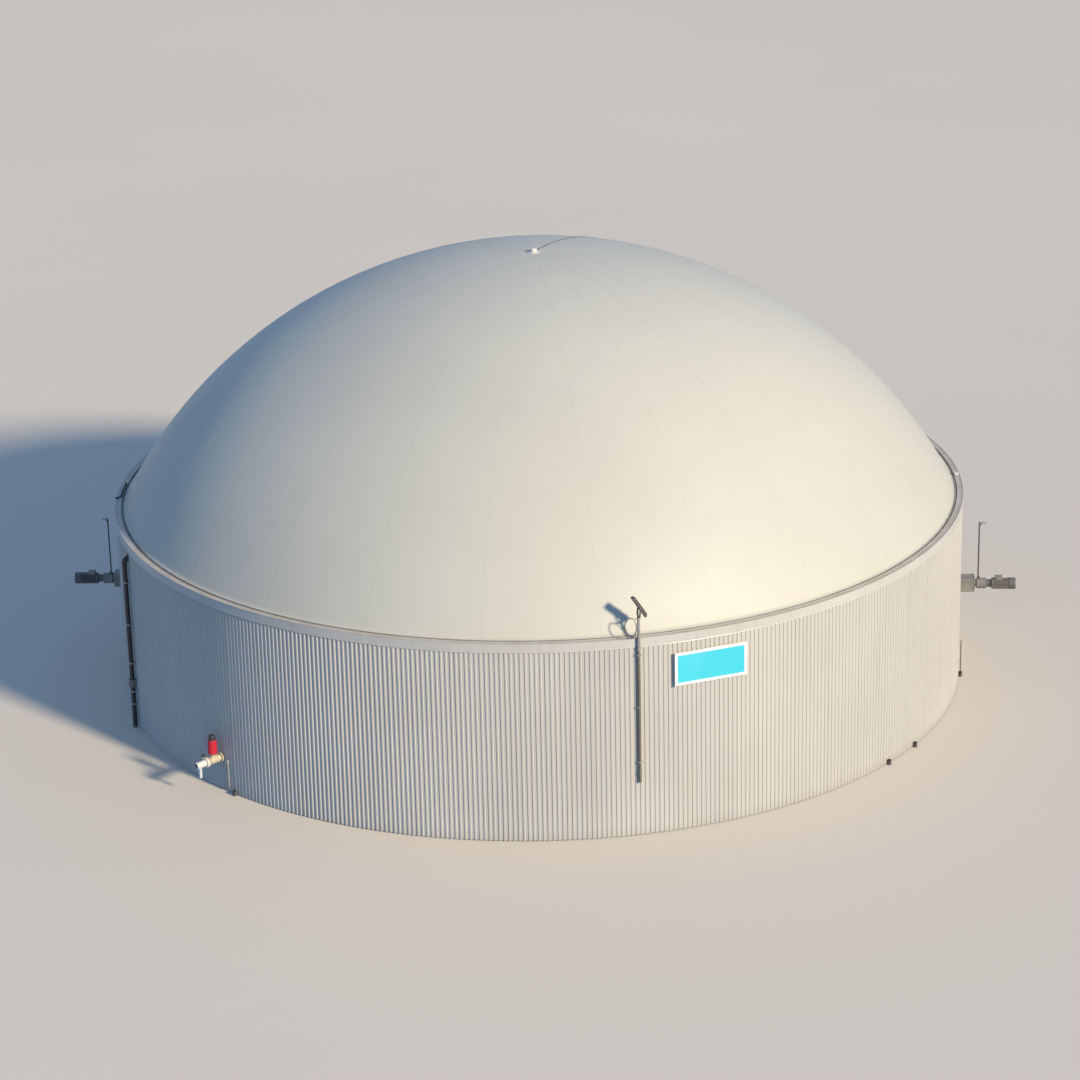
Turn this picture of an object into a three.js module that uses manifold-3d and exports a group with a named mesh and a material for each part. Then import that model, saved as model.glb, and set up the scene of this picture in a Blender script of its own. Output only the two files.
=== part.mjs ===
// Biogas digester: a round concrete tank in ribbed steel cladding under a domed membrane roof.
// Millimetres, +Z up. The origin is the centre of the tank at ground level, its front faces -Y.
// An azimuth is an angle round the tank in degrees, from the front (-Y) towards the right (+X).
import * as THREE from "three";
import { mergeVertices } from "three/addons/utils/BufferGeometryUtils.js";
import Module from "manifold-3d";

const wasm = await Module();
wasm.setup();

// Clearance between pieces that touch.
const GAP = 0.3;

// Radii of the ring wall, from the cladding inwards.
const TANK_RADIUS = 13000;
const CLADDING_INNER = TANK_RADIUS - 120;
const WALL_OUTER = CLADDING_INNER - GAP;
const WALL_INNER = WALL_OUTER - 260;

// Heights above the ground.
const SLAB_TOP = 250;
const WALL_TOP = 5900;
const CLADDING_BOTTOM = 30;
const CLADDING_TOP = 5930;
const RIM_BAND_BOTTOM = 5680;
const RIM_TOP = 5950;
const DOME_TOP = 13360;

// How finely the round pieces are cut, and into how many lengths.
const FACET_DEGREES = 3;
const WALL_SEGMENTS = 6;
const FLASHING_SEGMENTS = 4;
const DOME_SIDES = 72;
const DOME_RINGS = 12;

// Rim: the flashing over the cladding, and the rail that clamps the membrane to the wall.
const FLASHING_SHEET = 20;
const LEDGE_INNER = 12830;
const RAIL_INNER = 12740;
const RAIL_OUTER = 12810;
const RAIL_SHEET = 6;
const RAIL_HEIGHT = 50;
const CLAMP_HOSE_RADIUS = 25;

// Dome: part of a sphere, standing on the wall just inside the rail.
const MEMBRANE_THICKNESS = 30;
const DOME_FOOT = RAIL_INNER - 5;
const DOME_FOOT_Z = WALL_TOP + GAP;
const DOME_RISE = DOME_TOP - DOME_FOOT_Z;
const DOME_SPHERE = (DOME_FOOT ** 2 + DOME_RISE ** 2) / (2 * DOME_RISE);
const DOME_CENTRE_Z = DOME_TOP - DOME_SPHERE;

// Gas level gauge: a belt from the crown of the dome to the head of a tube on the rim.
const CROWN_RADIUS = 200;
const GAUGE_AZIMUTH = 155;
const GAUGE_TUBE_X = TANK_RADIUS + 190;
const GAUGE_TUBE_RADIUS = 100;
const GAUGE_HEAD_RADIUS = 115;
const GAUGE_BOTTOM = 5350;
const GAUGE_TOP = 6890;
const BELT_WIDTH = 40;
const BELT_THICKNESS = 8;
const BELT_LEAVES_DOME_AT_RING = 8;

// Lamp mast: an upright pipe on the wall that carries a tilted floodlight above the rim.
const MAST_AZIMUTH = 11.6;
const MAST_X = TANK_RADIUS + 75;
const MAST_RADIUS = 40;
const MAST_BOTTOM = 1660;
const MAST_TOP = 6580;
const LAMP_LENGTH = 660;
const LAMP_WIDTH = 240;
const LAMP_THICKNESS = 110;
const LAMP_TILT = 122.7;
const LAMP_BRACKET_TILT = 5;
const LAMP_BRACKET_REACH = 290;

// Sign: a flat panel on two upright rails.
const SIGN_AZIMUTH = 20.8;
const SIGN_WIDTH = 2180;
const SIGN_BOTTOM = 4420;
const SIGN_TOP = 5400;
const SIGN_BACK_X = TANK_RADIUS + 40;
const SIGN_SHEET = 22;
const SIGN_RAIL_Y = 780;

// Gas pipe: up the wall from the ground to an elbow that enters it under the rim.
const GAS_PIPE_AZIMUTH = -70.5;
const GAS_PIPE_X = TANK_RADIUS + 120;
const GAS_PIPE_RADIUS = 70;
const GAS_PIPE_TOP = 5450;
const GAS_VALVE_BOTTOM = 1330;
const GAS_VALVE_TOP = 1570;

// Stirrers: one on each side, a box on the wall with a flanged drive and a motor.
const MIXER_HEIGHT = 2800;
const MIXER_BOX_END = TANK_RADIUS + 420;
const MIXER_BOX_HALF = 225;
const MIXER_FLANGE_RADIUS = 215;
const MIXER_NECK_RADIUS = 120;
const MIXER_GEAR_RADIUS = 165;
const MIXER_GEAR_START = TANK_RADIUS + 500;
const MIXER_GEAR_END = TANK_RADIUS + 760;
const MIXER_MOTOR_RADIUS = 180;
const MIXER_MOTOR_START = TANK_RADIUS + 960;
const MIXER_END = TANK_RADIUS + 1700;
const DAVIT_X = TANK_RADIUS + 545;
const DAVIT_TOP = 4800;

// Drain: a valve with an upright actuator, and a short open pipe in front of it.
const DRAIN_AZIMUTH = -45.8;
const DRAIN_HEIGHT = 1050;
const DRAIN_ACTUATOR_X = TANK_RADIUS + 320;
const DRAIN_VALVE_END = TANK_RADIUS + 560;
const DRAIN_END = TANK_RADIUS + 950;

const rad = THREE.MathUtils.degToRad;

const FINISHES = {
  concrete: { color: 0xa7a49b, roughness: 0.9, metalness: 0 },
  cladding: { color: 0xcfcabc, roughness: 0.5, metalness: 0.2 },
  flashing: { color: 0xdedacd, roughness: 0.4, metalness: 0.3 },
  membrane: { color: 0xdcd9cf, roughness: 0.55, metalness: 0 },
  stainless: { color: 0xb9bbbc, roughness: 0.35, metalness: 0.9 },
  rubber: { color: 0x1c1d1f, roughness: 0.8, metalness: 0 },
  blackPipe: { color: 0x15171a, roughness: 0.5, metalness: 0 },
  whitePlastic: { color: 0xe9e8e2, roughness: 0.45, metalness: 0 },
  greyPaint: { color: 0x8e8c80, roughness: 0.5, metalness: 0.3 },
  darkPaint: { color: 0x3d3b38, roughness: 0.5, metalness: 0.3 },
  redPaint: { color: 0xb3142e, roughness: 0.4, metalness: 0.2 },
  creamPaint: { color: 0xd8cfa6, roughness: 0.45, metalness: 0.2 },
  cyanPanel: { color: 0x22b8e6, roughness: 0.35, metalness: 0 },
};

// One named piece of the digester.
function piece(name, geometry, finish) {
  const mesh = new THREE.Mesh(geometry, new THREE.MeshStandardMaterial(FINISHES[finish]));
  mesh.name = name;
  return mesh;
}

// A group turned so that its +X points straight out of the tank at an azimuth.
function station(azimuth, ...meshes) {
  const group = new THREE.Group();
  group.rotation.z = rad(azimuth - 90);
  group.add(...meshes);
  return group;
}

// Joining and cutting closed shapes.
function solidOf(geometry) {
  const bare = geometry.clone();
  bare.deleteAttribute("normal");
  bare.deleteAttribute("uv");
  const merged = mergeVertices(bare, 1e-3);
  return new wasm.Manifold(
    new wasm.Mesh({
      numProp: 3,
      vertProperties: merged.attributes.position.array,
      triVerts: new Uint32Array(merged.index.array),
    }),
  );
}

function geometryOf(solid) {
  const mesh = solid.getMesh();
  const geometry = new THREE.BufferGeometry();
  geometry.setAttribute("position", new THREE.BufferAttribute(mesh.vertProperties, 3));
  geometry.setIndex(new THREE.BufferAttribute(mesh.triVerts, 1));
  geometry.computeVertexNormals();
  return geometry;
}

function joined(...geometries) {
  return geometryOf(geometries.map(solidOf).reduce((sum, next) => sum.add(next)));
}

function cut(geometry, ...tools) {
  return geometryOf(tools.map(solidOf).reduce((rest, tool) => rest.subtract(tool), solidOf(geometry)));
}

// Plain shapes in a station's own axes: +X out of the tank, +Y along the wall, +Z up.
function block(x0, x1, y0, y1, z0, z1) {
  const box = new THREE.BoxGeometry(x1 - x0, y1 - y0, z1 - z0);
  return box.translate((x0 + x1) / 2, (y0 + y1) / 2, (z0 + z1) / 2);
}

function uprightBar(radius, x, y, z0, z1, sides = 16) {
  const bar = new THREE.CylinderGeometry(radius, radius, z1 - z0, sides);
  return bar.rotateX(Math.PI / 2).translate(x, y, (z0 + z1) / 2);
}

function outwardBar(radius, x0, x1, z, sides = 24) {
  const bar = new THREE.CylinderGeometry(radius, radius, x1 - x0, sides);
  return bar.rotateZ(Math.PI / 2).translate((x0 + x1) / 2, 0, z);
}

// A profile of [radius, height] points turned round the tank's axis.
function turned(profile, sides) {
  const points = profile.map(([r, z]) => new THREE.Vector2(r, z));
  return new THREE.LatheGeometry(points, sides).rotateX(Math.PI / 2);
}

// An outline of [x, z] points given a width along the wall.
function upright(outline, width) {
  const shape = new THREE.Shape(outline.map(([x, z]) => new THREE.Vector2(x, z)));
  const slab = new THREE.ExtrudeGeometry(shape, { depth: width, bevelEnabled: false });
  return slab.rotateX(Math.PI / 2).translate(0, width / 2, 0);
}

// A round tube along a smooth path of [x, y, z] points.
function tube(points, radius, steps, sides = 8) {
  const path = new THREE.CatmullRomCurve3(points.map((p) => new THREE.Vector3(...p)));
  const section = [];
  for (let i = 0; i < sides; i += 1) {
    const turn = (2 * Math.PI * i) / sides;
    section.push(new THREE.Vector2(radius * Math.cos(turn), radius * Math.sin(turn)));
  }
  const shape = new THREE.Shape(section);
  return new THREE.ExtrudeGeometry(shape, { steps, extrudePath: path, bevelEnabled: false });
}

// A stretch of the ring between two radii, two heights and two azimuths.
function ringStretch(inner, outer, z0, z1, from, to) {
  const steps = Math.round((to - from) / FACET_DEGREES);
  const arc = (radius) => {
    const inset = GAP / 2 / radius;
    const points = [];
    for (let i = 0; i <= steps; i += 1) {
      const azimuth = rad(from) + inset + ((rad(to - from) - 2 * inset) * i) / steps;
      points.push(new THREE.Vector2(radius * Math.sin(azimuth), -radius * Math.cos(azimuth)));
    }
    return points;
  };
  const outline = new THREE.Shape([...arc(outer), ...arc(inner).reverse()]);
  const stretch = new THREE.ExtrudeGeometry(outline, { depth: z1 - z0, bevelEnabled: false });
  return stretch.translate(0, 0, z0);
}

// The space of the clad wall, seen from a station: it shapes the backs of the fittings.
function cladSpace(azimuth) {
  const radius = TANK_RADIUS + GAP;
  const drum = uprightBar(radius, 0, 0, 0, RIM_TOP, 360 / FACET_DEGREES);
  return drum.rotateZ(-rad(azimuth - 90));
}

function seated(azimuth, ...geometries) {
  return cut(joined(...geometries), cladSpace(azimuth));
}

// Concrete tank: floor slab and ring wall.
function concreteTank() {
  const slab = uprightBar(WALL_OUTER, 0, 0, 0, SLAB_TOP, 360 / FACET_DEGREES);
  const tank = [piece("floor_slab", slab, "concrete")];
  const span = 360 / WALL_SEGMENTS;
  for (let i = 0; i < WALL_SEGMENTS; i += 1) {
    const from = i * span;
    const wall = ringStretch(WALL_INNER, WALL_OUTER, SLAB_TOP + GAP, WALL_TOP, from, from + span);
    tank.push(piece(`wall_segment_${i + 1}`, wall, "concrete"));
  }
  return tank;
}

// Insulation under ribbed steel sheet, in lengths that follow the wall.
function claddingRing() {
  const ring = [];
  const span = 360 / WALL_SEGMENTS;
  for (let i = 0; i < WALL_SEGMENTS; i += 1) {
    const from = i * span;
    const sheet = ringStretch(CLADDING_INNER, TANK_RADIUS, CLADDING_BOTTOM, CLADDING_TOP, from, from + span);
    ring.push(piece(`cladding_${i + 1}`, sheet, "cladding"));
  }
  return ring;
}

// Angled sheet that caps the cladding: a band down the outside and a ledge on top.
function rimFlashing() {
  const rim = [];
  const span = 360 / FLASHING_SEGMENTS;
  const inner = TANK_RADIUS + GAP;
  const outer = inner + FLASHING_SHEET;
  for (let i = 0; i < FLASHING_SEGMENTS; i += 1) {
    const from = i * span;
    const band = ringStretch(inner, outer, RIM_BAND_BOTTOM, RIM_TOP, from, from + span);
    const ledge = ringStretch(LEDGE_INNER, outer, CLADDING_TOP + GAP, RIM_TOP, from, from + span);
    rim.push(piece(`rim_flashing_${i + 1}`, joined(band, ledge), "flashing"));
  }
  return rim;
}

// U-shaped rail on the wall.
function clampRail() {
  const bottom = WALL_TOP + GAP;
  const floor = bottom + RAIL_SHEET;
  const top = bottom + RAIL_HEIGHT;
  const profile = [
    [RAIL_INNER, bottom],
    [RAIL_OUTER, bottom],
    [RAIL_OUTER, top],
    [RAIL_OUTER - RAIL_SHEET, top],
    [RAIL_OUTER - RAIL_SHEET, floor],
    [RAIL_INNER + RAIL_SHEET, floor],
    [RAIL_INNER + RAIL_SHEET, top],
    [RAIL_INNER, top],
    [RAIL_INNER, bottom],
  ];
  return piece("clamp_rail", turned(profile, DOME_SIDES), "stainless");
}

// Hose that fills the rail and grips the edge of the membrane.
function clampHose() {
  const middle = (RAIL_INNER + RAIL_OUTER) / 2;
  const height = WALL_TOP + RAIL_SHEET + 2 * GAP + CLAMP_HOSE_RADIUS;
  const corners = 8;
  const profile = [];
  for (let i = 0; i <= corners; i += 1) {
    const turn = (2 * Math.PI * (i % corners)) / corners;
    const across = CLAMP_HOSE_RADIUS * Math.cos(turn);
    profile.push([middle + across, height + CLAMP_HOSE_RADIUS * Math.sin(turn)]);
  }
  return piece("clamp_hose", turned(profile, DOME_SIDES), "rubber");
}

// Points of a meridian of the dome, from the crown to the foot, raised off the skin by a height.
function meridian(raised) {
  const sphere = DOME_SPHERE + raised;
  const footTilt = Math.asin(DOME_FOOT / DOME_SPHERE);
  const points = [];
  for (let i = 0; i <= DOME_RINGS; i += 1) {
    const tilt = (footTilt * i) / DOME_RINGS;
    points.push([sphere * Math.sin(tilt), DOME_CENTRE_Z + sphere * Math.cos(tilt)]);
  }
  return points;
}

// Outer membrane: a thin shell open at the bottom, standing on the wall.
function outerMembrane() {
  const inside = meridian(-MEMBRANE_THICKNESS);
  inside[DOME_RINGS] = [DOME_FOOT - MEMBRANE_THICKNESS, DOME_FOOT_Z];
  const shell = turned([...inside, ...meridian(0).reverse()], DOME_SIDES);
  return piece("outer_membrane", shell, "membrane");
}

// Disc with a low cap on the crown, where the belt starts.
function crownFitting() {
  const disc = uprightBar(CROWN_RADIUS, 0, 0, DOME_TOP - 60, DOME_TOP + 15, 24);
  const cap = uprightBar(110, 0, 0, DOME_TOP - 60, DOME_TOP + 120, 24);
  const dome = turned([[0, WALL_TOP], ...meridian(0).reverse()], DOME_SIDES);
  return piece("crown_fitting", cut(joined(disc, cap), dome.translate(0, 0, GAP)), "whitePlastic");
}

// Belt: it lies on the back of the dome, then spans straight to the head of the gauge.
function gaugeBelt() {
  const head = [GAUGE_TUBE_X - GAUGE_HEAD_RADIUS - GAP, GAUGE_TOP - 20];
  const lying = (raised) => meridian(raised).slice(0, BELT_LEAVES_DOME_AT_RING + 1);
  const under = [...lying(GAP), [head[0], head[1] - BELT_THICKNESS]];
  const over = [...lying(GAP + BELT_THICKNESS), head];
  const strip = upright([...under.reverse(), ...over], BELT_WIDTH);
  const crown = uprightBar(CROWN_RADIUS + GAP, 0, 0, DOME_TOP - 60, DOME_TOP + 60, 24);
  crown.rotateZ(-rad(GAUGE_AZIMUTH - 90));
  return piece("gauge_belt", cut(strip, crown), "rubber");
}

function levelGauge() {
  const body = uprightBar(GAUGE_TUBE_RADIUS, GAUGE_TUBE_X, 0, GAUGE_BOTTOM, GAUGE_TOP - 10, 20);
  const head = uprightBar(GAUGE_HEAD_RADIUS, GAUGE_TUBE_X, 0, GAUGE_TOP - 60, GAUGE_TOP, 20);
  const foot = block(TANK_RADIUS - 40, TANK_RADIUS + 20, -60, 60, 5380, 5640);
  const lowArm = block(TANK_RADIUS, GAUGE_TUBE_X, -30, 30, 5400, 5450);
  const highArm = block(TANK_RADIUS, GAUGE_TUBE_X, -30, 30, 5570, 5620);
  const gauge = seated(GAUGE_AZIMUTH, body, head, foot, lowArm, highArm);
  return piece("level_gauge", gauge, "whitePlastic");
}

// Lamp mast with a collar, a sleeve at the rim and three brackets on the wall.
function lampMast() {
  const parts = [
    uprightBar(MAST_RADIUS, MAST_X, 0, MAST_BOTTOM, MAST_TOP),
    uprightBar(MAST_RADIUS + 10, MAST_X, 0, 1900, 2020),
    uprightBar(MAST_RADIUS + 8, MAST_X, 0, 5610, 5770),
  ];
  for (const z of [2250, 3900, 5450]) {
    parts.push(block(TANK_RADIUS - 20, MAST_X, -30, 30, z, z + 50));
    parts.push(uprightBar(MAST_RADIUS + 8, MAST_X, 0, z, z + 50));
  }
  return piece("lamp_mast", seated(MAST_AZIMUTH, ...parts), "darkPaint");
}

// Floodlight in a U-shaped bracket on top of the mast.
function floodlight() {
  const armX = LAMP_WIDTH / 2 + 12;
  const armFar = armX + 8;
  const bracket = joined(
    block(-armFar, armFar, -25, 25, 0, 8),
    block(armX, armFar, -25, 25, 0, LAMP_BRACKET_REACH + 20),
    block(-armFar, -armX, -25, 25, 0, LAMP_BRACKET_REACH + 20),
    outwardBar(15, -armFar, armFar, LAMP_BRACKET_REACH, 12),
  );
  bracket.rotateX(-rad(LAMP_BRACKET_TILT));
  const lean = rad(LAMP_BRACKET_TILT);
  const half = LAMP_THICKNESS / 2;
  const body = block(-LAMP_WIDTH / 2, LAMP_WIDTH / 2, -LAMP_LENGTH / 2, LAMP_LENGTH / 2, -half, half);
  body.rotateX(rad(LAMP_TILT));
  body.translate(0, LAMP_BRACKET_REACH * Math.sin(lean), LAMP_BRACKET_REACH * Math.cos(lean));
  const foot = uprightBar(MAST_RADIUS + 5, 0, 0, -30, 12);
  const lamp = joined(bracket, body, foot).translate(MAST_X, 0, MAST_TOP + GAP + 30);
  return piece("floodlight", lamp, "darkPaint");
}

// Spare cable hung in an oval coil beside the mast.
function cableCoil() {
  const halfWidth = 170;
  const stretch = 1.7;
  const cable = 18;
  const ring = new THREE.TorusGeometry(halfWidth, cable, 8, 24).scale(1, stretch, 1);
  ring.rotateX(Math.PI / 2).rotateZ(Math.PI / 2);
  const beside = MAST_RADIUS + GAP + halfWidth + cable;
  const height = RIM_TOP + stretch * (halfWidth + cable) + 15;
  return piece("cable_coil", ring.translate(MAST_X, -beside, height), "rubber");
}

// Flat sign with a bare face, on two rails shaped to the wall.
function sign() {
  const half = SIGN_WIDTH / 2;
  const panel = block(SIGN_BACK_X, SIGN_BACK_X + SIGN_SHEET, -half, half, SIGN_BOTTOM, SIGN_TOP);
  const rail = (name, y) => {
    const low = SIGN_BOTTOM + 20;
    const bar = block(TANK_RADIUS - 60, SIGN_BACK_X - GAP, y - 20, y + 20, low, SIGN_TOP - 20);
    return piece(name, seated(SIGN_AZIMUTH, bar), "stainless");
  };
  return [
    piece("sign_panel", panel, "cyanPanel"),
    rail("sign_rail_left", -SIGN_RAIL_Y),
    rail("sign_rail_right", SIGN_RAIL_Y),
  ];
}

// Band round the gas pipe with a foot on the wall.
function pipeClamp(z) {
  return [
    uprightBar(GAS_PIPE_RADIUS + 8, GAS_PIPE_X, 0, z - 25, z + 25, 20),
    block(TANK_RADIUS - 20, GAS_PIPE_X, -35, 35, z - 25, z + 25),
  ];
}

// Gas pipe in two lengths with a butterfly valve between them.
function gasPipe() {
  const lower = seated(
    GAS_PIPE_AZIMUTH,
    uprightBar(GAS_PIPE_RADIUS, GAS_PIPE_X, 0, 0, GAS_VALVE_BOTTOM, 20),
    ...pipeClamp(780),
    ...pipeClamp(1180),
  );
  const bend = tube(
    [
      [GAS_PIPE_X, 0, GAS_PIPE_TOP - 200],
      [GAS_PIPE_X, 0, GAS_PIPE_TOP - 130],
      [GAS_PIPE_X - 27, 0, GAS_PIPE_TOP - 40],
      [GAS_PIPE_X - 100, 0, GAS_PIPE_TOP],
      [TANK_RADIUS - 80, 0, GAS_PIPE_TOP],
    ],
    GAS_PIPE_RADIUS,
    8,
    20,
  );
  const upper = seated(
    GAS_PIPE_AZIMUTH,
    uprightBar(GAS_PIPE_RADIUS, GAS_PIPE_X, 0, GAS_VALVE_TOP, GAS_PIPE_TOP - 190, 20),
    bend,
    outwardBar(GAS_PIPE_RADIUS + 55, TANK_RADIUS - 20, TANK_RADIUS + 14, GAS_PIPE_TOP),
    ...pipeClamp(2100),
    ...pipeClamp(3340),
    ...pipeClamp(4700),
  );
  const bottom = GAS_VALVE_BOTTOM + GAP;
  const top = GAS_VALVE_TOP - GAP;
  const middle = (bottom + top) / 2;
  const valve = joined(
    uprightBar(112, GAS_PIPE_X, 0, bottom, bottom + 30, 24),
    uprightBar(112, GAS_PIPE_X, 0, top - 30, top, 24),
    uprightBar(90, GAS_PIPE_X, 0, bottom, top, 24),
    outwardBar(18, GAS_PIPE_X, GAS_PIPE_X + 165, middle, 12),
    block(GAS_PIPE_X + 145, GAS_PIPE_X + 165, -20, 190, middle - 15, middle + 15),
  );
  return [
    piece("gas_pipe_lower", lower, "blackPipe"),
    piece("gas_pipe_upper", upper, "blackPipe"),
    piece("gas_valve", valve, "greyPaint"),
  ];
}

// One stirrer: box on the wall, gear housing on a neck, motor, and an upright hoisting post.
function mixer(side, azimuth) {
  const half = MIXER_BOX_HALF;
  const low = MIXER_HEIGHT - half;
  const high = MIXER_HEIGHT + half;
  const box = seated(azimuth, block(TANK_RADIUS - 60, MIXER_BOX_END, -half, half, low, high));
  const flangeStart = MIXER_BOX_END + GAP;
  const gear = joined(
    outwardBar(MIXER_FLANGE_RADIUS, flangeStart, flangeStart + 25, MIXER_HEIGHT, 32),
    outwardBar(MIXER_NECK_RADIUS, flangeStart, MIXER_GEAR_END, MIXER_HEIGHT),
    outwardBar(MIXER_GEAR_RADIUS, MIXER_GEAR_START, MIXER_GEAR_END, MIXER_HEIGHT),
  );
  const neckStart = MIXER_GEAR_END + GAP;
  const body = MIXER_MOTOR_START;
  const motor = joined(
    outwardBar(MIXER_GEAR_RADIUS, neckStart, neckStart + 25, MIXER_HEIGHT),
    outwardBar(MIXER_NECK_RADIUS, neckStart, MIXER_END, MIXER_HEIGHT),
    outwardBar(MIXER_MOTOR_RADIUS, body, MIXER_END, MIXER_HEIGHT),
    block(body + 90, body + 320, -90, 90, MIXER_HEIGHT, MIXER_HEIGHT + 250),
  );
  const gearTop = MIXER_HEIGHT + MIXER_GEAR_RADIUS;
  const davit = cut(
    joined(
      block(DAVIT_X - 40, DAVIT_X + 60, -60, 60, gearTop - 30, gearTop + 25),
      uprightBar(22, DAVIT_X, 0, gearTop, DAVIT_TOP, 12),
      block(DAVIT_X - 25, DAVIT_X + 190, -18, 18, DAVIT_TOP - 40, DAVIT_TOP),
    ),
    outwardBar(MIXER_GEAR_RADIUS + GAP, MIXER_BOX_END, MIXER_GEAR_END + 100, MIXER_HEIGHT),
  );
  return station(
    azimuth,
    piece(`mixer_${side}_box`, box, "greyPaint"),
    piece(`mixer_${side}_gear`, gear, "greyPaint"),
    piece(`mixer_${side}_motor`, motor, "greyPaint"),
    piece(`mixer_${side}_davit`, davit, "darkPaint"),
  );
}

// Drain valve on a flanged stub, its actuator, and the open pipe with a cock and a spout.
function drain() {
  const z = DRAIN_HEIGHT;
  const valve = seated(
    DRAIN_AZIMUTH,
    outwardBar(85, TANK_RADIUS - 30, DRAIN_VALVE_END, z),
    outwardBar(150, TANK_RADIUS + 40, TANK_RADIUS + 80, z),
    outwardBar(122, TANK_RADIUS + 130, TANK_RADIUS + 460, z),
    outwardBar(150, DRAIN_VALVE_END - 50, DRAIN_VALVE_END, z),
    uprightBar(60, DRAIN_ACTUATOR_X, 0, z, z + 200),
  );
  const actuator = joined(
    uprightBar(135, DRAIN_ACTUATOR_X, 0, z + 200 + GAP, z + 630, 24),
    uprightBar(105, DRAIN_ACTUATOR_X, 0, z + 620, z + 800, 24),
  );
  const pipeStart = DRAIN_VALVE_END + GAP;
  const pipe = cut(
    joined(
      outwardBar(150, pipeStart, pipeStart + 60, z),
      outwardBar(100, pipeStart, DRAIN_END, z),
      uprightBar(22, TANK_RADIUS + 670, 0, z, z + 240, 12),
      uprightBar(50, TANK_RADIUS + 670, 0, z + 220, z + 300),
      uprightBar(45, TANK_RADIUS + 800, 0, z - 400, z),
    ),
    outwardBar(84, pipeStart + 170, DRAIN_END + 50, z),
  );
  return station(
    DRAIN_AZIMUTH,
    piece("drain_valve", valve, "creamPaint"),
    piece("drain_actuator", actuator, "redPaint"),
    piece("drain_pipe", pipe, "whitePlastic"),
  );
}

// Flat cable duct on the wall beside the drain, ending in a small box.
function drainConduit() {
  const azimuth = -44.6;
  const duct = block(TANK_RADIUS - 20, TANK_RADIUS + 28, -16, 16, 170, 940);
  const box = block(TANK_RADIUS - 20, TANK_RADIUS + 60, -40, 40, 930, 1020);
  return station(azimuth, piece("drain_conduit", seated(azimuth, duct, box), "whitePlastic"));
}

// Short inspection tube that stands on the ground against the wall.
function leakTube(name, azimuth, ...extra) {
  const radius = 62;
  const stub = uprightBar(radius, TANK_RADIUS + radius - 6, 0, 0, 150);
  return station(azimuth, piece(name, seated(azimuth, stub, ...extra), "blackPipe"));
}

// Air hose that comes over the ledge on the left and runs back along the foot of the dome.
function rimHose() {
  const radius = 22;
  const bend = 220;
  const lying = RIM_TOP + 2 * GAP + radius;
  const middle = LEDGE_INNER + 45;
  const at = (r, along) => [r * Math.cos(along / r), r * Math.sin(along / r), lying];
  const onBend = (turn) => at(middle + bend * (1 - Math.cos(rad(turn))), bend * Math.sin(rad(turn)) - 200);
  const [edge, start] = [TANK_RADIUS + 15, onBend(45)];
  const path = [
    at(edge, edge - Math.hypot(start[0], start[1]) + start[1]),
    onBend(45),
    onBend(22.5),
    onBend(0),
    at(middle, -500),
    at(middle, -900),
    at(middle, -1350),
  ];
  return piece("rim_hose", tube(path, radius, 24), "rubber");
}

// Small clamp box on the ledge on the right.
function rimFitting() {
  const z = RIM_TOP + GAP;
  const body = block(LEDGE_INNER + 10, TANK_RADIUS - 40, -50, 50, z, z + 70);
  const lid = block(LEDGE_INNER, TANK_RADIUS - 30, -58, 58, z + 62, z + 82);
  return piece("rim_fitting", joined(body, lid), "whitePlastic");
}

const digester = new THREE.Group();
digester.add(
  ...concreteTank(),
  ...claddingRing(),
  ...rimFlashing(),
  clampRail(),
  clampHose(),
  outerMembrane(),
  crownFitting(),
  station(GAUGE_AZIMUTH, gaugeBelt(), levelGauge()),
  station(MAST_AZIMUTH, lampMast(), floodlight(), cableCoil()),
  station(SIGN_AZIMUTH, ...sign()),
  station(GAS_PIPE_AZIMUTH, ...gasPipe()),
  mixer("left", -94),
  mixer("right", 85),
  drain(),
  drainConduit(),
  leakTube("leak_tube_left", -43.4),
  leakTube("leak_tube_front", 50.2),
  leakTube("leak_tube_right", 56.8),
  leakTube("leak_tube_riser", 81.6, uprightBar(14, TANK_RADIUS + 60, 0, 100, 1200, 10)),
  station(-88, rimHose()),
  station(89.8, rimFitting()),
);

export default digester;
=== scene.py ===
# Biogas digester: a round concrete tank in ribbed steel cladding under a domed membrane roof.
# Metres, +Z up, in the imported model's frame: the tank stands round the Z axis and its front faces -Y.
# A fitting is modelled as if +X pointed straight out of the tank, then swung to its azimuth, an
# angle round the tank in degrees from the front towards the right.
import math

import bmesh
import bpy
from mathutils import Matrix, Vector


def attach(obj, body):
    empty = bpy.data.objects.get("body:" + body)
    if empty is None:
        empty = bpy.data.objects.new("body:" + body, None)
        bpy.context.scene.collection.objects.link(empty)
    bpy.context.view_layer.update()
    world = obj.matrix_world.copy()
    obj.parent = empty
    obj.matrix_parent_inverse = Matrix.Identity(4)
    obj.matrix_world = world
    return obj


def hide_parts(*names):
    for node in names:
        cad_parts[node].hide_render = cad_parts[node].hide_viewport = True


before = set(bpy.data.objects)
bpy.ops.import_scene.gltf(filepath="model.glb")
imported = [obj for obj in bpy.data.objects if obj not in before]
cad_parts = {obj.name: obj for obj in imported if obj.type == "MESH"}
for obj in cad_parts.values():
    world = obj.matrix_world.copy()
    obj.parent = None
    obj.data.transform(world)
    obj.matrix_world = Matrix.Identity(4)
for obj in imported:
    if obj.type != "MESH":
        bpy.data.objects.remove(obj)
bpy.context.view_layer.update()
rad = math.radians


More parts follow.
